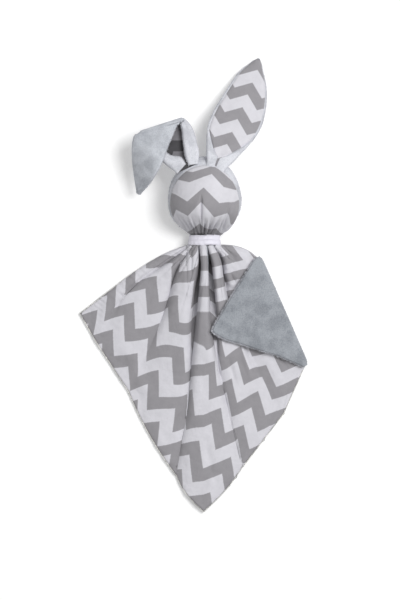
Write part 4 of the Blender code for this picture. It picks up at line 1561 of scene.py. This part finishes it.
@dataclass
class StraightEar:
    """The upright ear: a leaf of cotton over plush, rolled a little at its edges, from the crown to the table."""

    wardrobe: Wardrobe
    base_x: float = 0.0221
    base_y: float = 0.1126
    base_z: float = 0.0488
    lean: float = math.radians(21.8)
    length: float = 0.1095
    width: float = 0.0469
    thickness: float = 0.0036

    stations = (-0.05, 0.0, 0.05, 0.16, 0.28, 0.42, 0.56, 0.70, 0.83, 0.93, 0.98, 1.0)
    right = (0.20, 0.22, 0.27, 0.37, 0.475, 0.55, 0.53, 0.445, 0.31, 0.15, 0.07, 0.02)
    left = (0.18, 0.20, 0.25, 0.35, 0.435, 0.445, 0.40, 0.34, 0.27, 0.15, 0.07, 0.02)
    print_right = ((-0.05, 0.0), (0.055, 0.0004), (0.095, 0.0055), (0.205, 0.0151), (0.36, 0.0262), (1.0, 0.06))
    print_left = ((-0.05, 0.0), (0.055, 0.0004), (0.092, 0.0055), (0.258, 0.0189), (0.34, 0.0262), (1.0, 0.06))

    def wrapped(self, run: Array, offset: Array) -> Array:
        """Where the plush wraps over the print beside the base: 0 on the print and 1 on the wrap.

        Args:
            run: the share of the ear's length.
            offset: the distance from its middle line.

        Returns:
            The share of wrap.
        """
        right = np.interp(run, *zip(*self.print_right))
        left = np.interp(run, *zip(*self.print_left))
        beyond = np.where(offset > 0, offset - right, -offset - left)
        return smooth(beyond / 0.0014)

    def build(self) -> None:
        """Makes the two layers and the pile round the edge."""
        rows, columns = 150, 60
        run = (-0.05 + 1.05 * np.linspace(0, 1, rows))[:, None]
        right = through(self.stations, self.right, run[:, 0])[:, None] * self.width
        left = through(self.stations, self.left, run[:, 0])[:, None] * self.width
        across = np.linspace(0, 1, columns)[None, :]
        offset = -left * (1 - across) + right * across
        along = np.array((math.sin(self.lean), math.cos(self.lean)))
        side = np.array((along[1], -along[0]))
        plan = np.array((self.base_x, self.base_y)) + run[..., None] * self.length * along + offset[..., None] * side
        fall = self.base_z - self.thickness - 0.0008
        low = 0.0008 + fall * np.clip(1 - run, 0, 1.0) ** 1.15
        crown = 0.0022 * (1 - (2 * across - 1) ** 2) * smooth(run * 5)
        ends = np.minimum(low - 0.0008, 0.0022)
        middle_line = -0.0012 * np.exp(-((offset / 0.004) ** 2)) * smooth(1 - run * 2.2)
        soft = ripple(plan, 0.020, 81) * 0.0006 + ripple(plan, 0.009, 82) * 0.0002
        z = low - ends + crown + middle_line + soft * smooth(run * 8) + 0.0022
        points = np.dstack((plan, z))[::-1]
        normals = grid_normals(points)
        distance = edge_distance(points, ("left", "right", "top"))
        steps = (offset - 0.0028) / EAR_WAVE
        bands = (run * self.length / PHOTO_STEP - 22.4) / EAR_PERIOD + 0.5
        uv = np.dstack((steps, bands + 0 * steps))[::-1]
        over = self.wrapped(run + 0 * offset, offset)[::-1, :, None]
        round_off = rounded(distance, 0.0028)[..., None]
        inset = 1 - 0.075 * smooth((run - 0.02) / 0.1)[::-1]
        centre = points.mean(axis=1, keepdims=True)
        inner = centre + (points - centre) * inset[..., None]
        top = inner + normals * ((0.0012 * round_off - 0.0004 * (1 - round_off)) * (1 - over) - 0.0004 * over)
        cotton = cloth("right_ear_cotton", top, top - normals * 0.0010, uv)
        wrap = 0.0026 * over * (0.35 + 0.65 * round_off)
        plush = cloth(
            "right_ear_plush", points - normals * (0.0002 + 0.0003 * (1 - round_off) - wrap),
            points - normals * (0.0012 + 0.0014 * round_off), uv,
        )
        along3 = np.append(along, 0.0)
        base = np.array((self.base_x, self.base_y, self.base_z))
        for item, finish, node, rests in (
            (cotton, Finish.EAR_PRINT, "right_ear_print_panel", ["right_ear_plush"]),
            (plush, Finish.PALE_PLUSH, "right_ear_plush_panel", ["head_plush_back"]),
        ):
            self.wardrobe.dress(item, finish)
            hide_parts(node)
            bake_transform(item)
        self.build_pile(points, base, along3)

    def build_pile(self, points: Array, base: Array, along3: Array) -> None:
        """Tufts round the ear's edge.

        Args:
            points: the ear's middle surface.
            base: the middle of its base.
            along3: the way it points.
        """
        rim = np.concatenate((points[::-1, 0], points[0, 1:-1], points[:, -1]))
        second = np.concatenate((points[::-1, 2], points[2, 1:-1], points[:, -3]))
        out = unit(rim - second)
        random = np.random.default_rng(91)
        pick = random.integers(0, len(rim), 4200)
        lift = random.uniform(-0.9, 0.6, (4200, 1))
        roots = rim[pick] - out[pick] * 0.0006 + np.array((0, 0, -0.0006)) + np.array((0, 0, 0.0008)) * lift
        tufts = pile("right_ear_pile", roots, out[pick] + np.array((0, 0, 0.8)) * lift, 0.0013, 0.00030, 92)
        self.wardrobe.dress(tufts, Finish.PALE_PLUSH)
        tuple(base - along3 * 0.003)
        tuple(base + along3 * 0.010)
        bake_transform(tufts)


@dataclass
class FoldedEar:
    """The other ear: its stem leaves the crown print side up, and its upper part is turned over, plush side up."""

    wardrobe: Wardrobe
    base_x: float = -0.0046
    base_y: float = 0.1122
    base_z: float = 0.0452
    stem_length: float = 0.0465
    stem_lean: float = math.radians(-37.1)
    stem_fall: float = 0.0115
    crease_length: float = 0.0454
    crease_turn: float = math.radians(17.6)
    flap_length: float = 0.0654
    flap_lean: float = math.radians(15.8)
    flap_drop: float = 0.031
    ear_width: float = 0.0469

    stem_runs = (0.0, 0.15, 0.30, 0.50, 0.75, 1.0)
    stem_left = ((179, 175), (173, 168.5), (166.5, 162.5), (163.5, 154.5), (153.5, 146), (136.5, 138.5))
    stem_left_edge = ((186, 167), (181, 160), (172.5, 158.5), (165, 153.7), (154, 145.7), (137, 138.1))
    stem_right = ((196, 167), (196, 158), (194.5, 150), (191.5, 137.5), (187.5, 129), (181.5, 122.5))
    stem_right_edge = ((189, 168), (186, 160), (184.5, 152), (183.2, 142), (182.3, 132), (179.5, 123.5))
    flap_left = ((0.0, -0.46), (0.19, -0.40), (0.33, -0.385), (0.48, -0.335),
                 (0.66, -0.245), (0.86, -0.12), (1.0, -0.02))
    flap_right = ((-0.20, 0.45), (-0.19, 0.405), (0.10, 0.346), (0.35, 0.31), (0.58, 0.275), (0.82, 0.17), (1.0, 0.02))

    def frame(self) -> None:
        """Works out the ear's directions from its leans."""
        self.base = np.array((self.base_x, self.base_y))
        self.along = np.array((math.sin(self.stem_lean), math.cos(self.stem_lean)))
        self.side = np.array((self.along[1], -self.along[0]))
        self.crease = self.base + self.along * self.stem_length
        self.crease_along = np.array((math.cos(self.crease_turn), math.sin(self.crease_turn)))
        self.into = np.array((self.crease_along[1], -self.crease_along[0]))

    def stem_top(self, plan: Array) -> Array:
        """The height of the slope on which the stem's print lies."""
        return self.base_z - self.stem_fall * ((plan - self.base) @ self.along) / self.stem_length

    def stem_points(self) -> Array:
        """The stem's middle surface from the crown to the crease.

        Across, it starts at the left edge curled in over the print, turns down in half a circle, runs along the
        sunk floor and turns up and over again at the right, so plush faces up on both curls.

        Returns:
            The grid of points.
        """
        row = np.linspace(0, 1, 80)
        lines = [photo(*np.moveaxis(through(self.stem_runs, table, row), -1, 0))
                 for table in (self.stem_left_edge, self.stem_left, self.stem_right, self.stem_right_edge)]
        sunk = 0.0068 * smooth((row - 0.04) / 0.30) * (1 - 0.75 * smooth((row - 0.75) / 0.25)) + 0.0008
        share = np.linspace(0, 1, 9)[None, :-1, None]
        floor = np.linspace(0, 1, 31)[None, 1:-1, None]
        turn = np.linspace(0, math.pi, 9)[None, :, None]
        left_edge, left, right, right_edge = (line[:, None] for line in lines)
        way = unit(right - left)
        radius = (sunk / 2)[:, None, None]
        near = radius * (1 - 0.85 * smooth((row - 0.2) / 0.3))[:, None, None]
        plan = np.concatenate((
            left_edge + (left - left_edge) * share, left - way * np.minimum(near, 0.0016) * np.sin(turn),
            left + (right - left) * floor, right + way * np.minimum(radius, 0.0016) * np.sin(turn),
            right + (right_edge - right) * (share + 0.125),
        ), axis=1)
        level = np.concatenate((
            0 * share + 0 * radius, -near * (1 - np.cos(turn)), -2 * near * (1 - floor) - 2 * radius * floor,
            -radius * (1 + np.cos(turn)), 0 * share + 0 * radius,
        ), axis=1)[..., 0]
        soft = ripple(plan, 0.014, 101) * 0.0004
        rise = 0.0012 * np.concatenate((0 * share, 0 * turn, 0 * floor, 0 * turn, share), axis=1)[..., 0]
        return np.dstack((plan, np.minimum(self.stem_top(plan), 0.0462) + 0.0006 + level + soft + rise))

    def flap_points(self) -> Array:
        """The turned-over part's middle surface: a roll over the crease, then the flap drooping beside the head.

        Returns:
            The grid of points.
        """
        along = np.array((-math.sin(self.flap_lean), -math.cos(self.flap_lean)))
        side = np.array((-along[1], along[0]))
        run = np.linspace(0, 1, 110)
        knots = np.linspace(0, 1, len(self.flap_left))
        left, right = through(knots, self.flap_left, run), through(knots, self.flap_right, run)
        across = np.linspace(0, 1, 56)[None, :, None]
        shares = left[:, None, :] * (1 - across) + right[:, None, :] * across
        plan = self.crease + shares[..., :1] * self.flap_length * along + shares[..., 1:] * self.ear_width * side
        behind = (plan - self.crease) @ self.into
        plan = plan + np.clip(0.0034 - behind, 0, None)[..., None] * self.into
        behind = np.maximum(behind, 0)
        aside = -((plan - self.base) @ self.side)
        tip = self.crease + self.flap_length * along
        tip_aside = -float((tip - self.base) @ self.side)
        droop = np.clip((aside - 0.019) / (tip_aside - 0.019), 0, None) ** 1.5
        down = smooth(behind / (self.crease_length / 2))
        cup = 0.0016 * (1 - (2 * across[..., 0] - 1) ** 2) * smooth(behind / 0.02)
        soft = ripple(plan, 0.016, 103) * 0.0007
        z = self.stem_top(plan) + 0.0036 - self.flap_drop * droop * down + cup + soft * smooth(behind / 0.01)
        flap = np.dstack((plan, z))
        return self.with_roll(flap)

    def with_roll(self, flap: Array) -> Array:
        """Adds the roll: each line across the flap begins on the stem's end and turns over it in half a circle.

        Args:
            flap: the flap's points from the crease.

        Returns:
            The points with the roll's rows first.
        """
        start = flap[0]
        turn = np.linspace(-math.pi / 2, math.pi / 2, 11)[:-1, None]
        radius = 0.0021
        centre = start - np.array((0, 0, radius))
        out = -np.append(self.into, 0.0)
        roll = centre[None] + radius * (np.cos(turn)[..., None] * out + np.sin(turn)[..., None] * np.array((0, 0, 1.0)))
        return np.concatenate((roll, flap))

    def build(self) -> None:
        """Makes the stem's and the flap's two layers and their pile."""
        self.frame()
        stem = self.stem_points()[::-1]
        normals = grid_normals(stem)
        distance = edge_distance(stem, ("left", "right"))
        round_off = rounded(distance, 0.0026)[..., None]
        local = stem[..., :2] - self.base
        steps, run = local @ self.side, local @ self.along
        uv = np.dstack((steps / EAR_WAVE + 0.1, (run / PHOTO_STEP - 19.3) / EAR_PERIOD + 0.5))
        pieces = [
            # The stem's cotton takes the darker print, painted shade inside the folded ear.
            (cloth("left_stem_cotton", stem + normals * 0.0008 * round_off, stem - normals * 0.0001, uv),
             Finish.SHADED_PRINT, "left_ear_stem_print_panel", ["left_stem_plush"]),
            (cloth("left_stem_plush", stem - normals * 0.0002, stem - normals * (0.0006 + 0.0012 * round_off), uv),
             Finish.PALE_PLUSH, "left_ear_stem_plush_panel", ["head_plush_back"]),
        ]
        for item, finish, node, rests in pieces:
            self.wardrobe.dress(item, finish)
            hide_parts(node)
            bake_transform(item)
        self.build_flap()
        rim = np.concatenate((stem[:, 0], stem[:, -1]))
        out = unit(rim - np.concatenate((stem[:, 2], stem[:, -3])))
        self.pile_on("left_stem_pile", rim, out, 1800, 105)

    def build_flap(self) -> None:
        """The turned-over part: plush outside, cotton inside, with the pile over its face and edge."""
        flap = self.flap_points()
        normals = grid_normals(flap)
        distance = edge_distance(flap, ("left", "right", "bottom"))
        round_off = rounded(distance, 0.003)[..., None]
        uv = flap[..., :2] / EAR_WAVE
        top = flap + normals * (0.0006 + 0.0012 * round_off)
        plush = cloth("left_flap_plush", top, flap - normals * 0.0002, uv)
        centre = flap.mean(axis=1, keepdims=True)
        inner = centre + (flap - centre) * 0.92
        inner[:11] = flap[:11]
        lining = cloth("left_flap_cotton", inner - normals * 0.0004, inner - normals * 0.0014, uv)
        crease_point = np.append(self.crease, float(self.stem_top(self.crease)))
        turning = unit(np.append(self.into * 0.6 - self.crease_along * 0.066, 0.8))
        low, high = crease_point + turning * 0.0018, crease_point + turning * 0.0046
        for item, finish, node, rests in (
            (plush, Finish.EAR_PLUSH, "left_ear_flap_plush_panel", ["left_flap_cotton"]),
            (lining, Finish.EAR_PRINT, "left_ear_flap_print_panel", ["left_stem_cotton"]),
        ):
            self.wardrobe.dress(item, finish)
            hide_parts(node)
            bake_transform(item)
        rim = np.concatenate((flap[:, 0], flap[-1], flap[:, -1]))
        out = unit(rim - np.concatenate((flap[:, 2], flap[-3], flap[:, -3])))
        self.pile_on("left_flap_edge_pile", rim, out, 3000, 106)
        random = np.random.default_rng(107)
        i, j = random.integers(8, len(top) - 1, 7000), random.integers(0, 55, 7000)
        part = random.uniform(0, 1, (7000, 1))
        roots = top[i, j] * (1 - part) + top[i, j + 1] * part - normals[i, j] * 0.0002
        tufts = pile("left_flap_pile", roots, normals[i, j] + random.normal(0, 0.5, (7000, 3)), 0.0008, 0.00030, 108)
        self.wardrobe.dress(tufts, Finish.EAR_PLUSH)
        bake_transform(tufts)

    def pile_on(
        self, name: str, rim: Array, out: Array, count: int, seed: int,
    ) -> None:
        """Tufts along a rim.

        Args:
            name: the piece's name.
            rim: points of the rim.
            out: the way out of the cloth at each.
            count: how many tufts.
            seed: which random scatter.
        """
        random = np.random.default_rng(seed)
        pick = random.integers(0, len(rim), count)
        lift = random.uniform(-0.8, 0.8, (count, 1))
        roots = rim[pick] - out[pick] * 0.0005 + np.array((0, 0, 0.0008)) * lift
        tufts = pile(name, roots, out[pick] + np.array((0, 0, 0.8)) * lift, 0.0013, 0.00030, seed + 1)
        self.wardrobe.dress(tufts, Finish.PALE_PLUSH)
        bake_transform(tufts)


# ---------------------------------------------------------------- studio


@dataclass
class Studio:
    """A white floor under the object, a broad soft lamp from the right, a fill and a camera straight above."""

    camera_height: float = 2.4
    view_height: float = 0.570
    middle_x: float = 0.0071
    middle_y: float = -0.0140

    def build(self) -> None:
        """Makes the floor, the lamps, the world and the camera."""
        self.floor()
        self.lamp("key lamp", (0.70, 0.40, 1.50), 0.75, 22.0)
        self.lamp("fill lamp", (-0.9, -0.5, 1.5), 1.4, 2.5)
        self.world()
        self.camera()

    def floor(self) -> None:
        """A pale floor that shows white to the camera and keeps the object's shadow."""
        size = 6.0
        points = np.array(((-size, -size, 0), (size, -size, 0), (size, size, 0), (-size, size, 0)), float)
        item = mesh_object("studio_floor", points, np.array(((0, 1, 2, 3),)))
        sketch = Sketch("white floor")
        sketch.constants(Base_Color=(0.86, 0.86, 0.86, 1.0), Roughness=0.9, Specular_IOR_Level=0.1)
        path = sketch.node("ShaderNodeLightPath", {}, {})
        seen = Value(sketch, path.outputs["Is Camera Ray"]) + path.outputs["Is Glossy Ray"]
        lit = sketch.mixed(seen, (0.0, 0.0, 0.0, 1.0), (1.0, 1.0, 1.0, 1.0))
        sketch.feed(sketch.shader.inputs["Emission Color"], lit)
        sketch.constants(Emission_Strength=0.22)
        item.data.materials.append(sketch.material)

    @staticmethod
    def lamp(name: str, place: tuple[float, float, float], size: float, power: float) -> None:
        """A square soft lamp that points at the object.

        Args:
            name: its name.
            place: where it stands.
            size: its side.
            power: its power in watts.
        """
        data = bpy.data.lights.new(name, "AREA")
        data.size, data.energy = size, power
        item = bpy.data.objects.new(name, data)
        item.location = place
        item.rotation_euler = (-Vector(place)).to_track_quat("-Z", "Y").to_euler()
        bpy.context.scene.collection.objects.link(item)

    @staticmethod
    def world() -> None:
        """A soft even light from all round, and plain white behind everything."""
        world = bpy.data.worlds.new("studio")
        bpy.context.scene.world = world
        world.use_nodes = True
        tree = world.node_tree
        back = tree.nodes["Background"]
        back.inputs["Color"].default_value = (1.0, 1.0, 1.0, 1.0)
        back.inputs["Strength"].default_value = 0.40
        plain = tree.nodes.new("ShaderNodeBackground")
        plain.inputs["Strength"].default_value = 1.0
        plain.inputs["Color"].default_value = (1.0, 1.0, 1.0, 1.0)
        path, mix = tree.nodes.new("ShaderNodeLightPath"), tree.nodes.new("ShaderNodeMixShader")
        tree.links.new(path.outputs["Is Camera Ray"], mix.inputs[0])
        tree.links.new(back.outputs[0], mix.inputs[1])
        tree.links.new(plain.outputs[0], mix.inputs[2])
        tree.links.new(mix.outputs[0], tree.nodes["World Output"].inputs[0])

    def camera(self) -> None:
        """A long lens straight above, which sees 570 mm of the floor from top to bottom."""
        data = bpy.data.cameras.new("camera")
        data.sensor_fit = "VERTICAL"
        data.sensor_height = 24.0
        data.lens = 24.0 * self.camera_height / self.view_height
        data.clip_end = 20.0
        item = bpy.data.objects.new("camera", data)
        item.location = (self.middle_x, self.middle_y, self.camera_height)
        bpy.context.scene.collection.objects.link(item)
        bpy.context.scene.camera = item


def main() -> None:
    """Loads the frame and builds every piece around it."""
    logging.basicConfig(level=logging.INFO, format="%(message)s")
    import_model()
    bpy.context.scene.view_settings.view_transform = "Standard"
    Studio().build()
    wardrobe = Wardrobe()
    for piece in (Blanket, TurnedCorner, Head, NeckRibbon, StraightEar, FoldedEar):
        LOG.info("building %s", piece.__name__)
        piece(wardrobe).build()


if __name__ == "__main__":
    main()
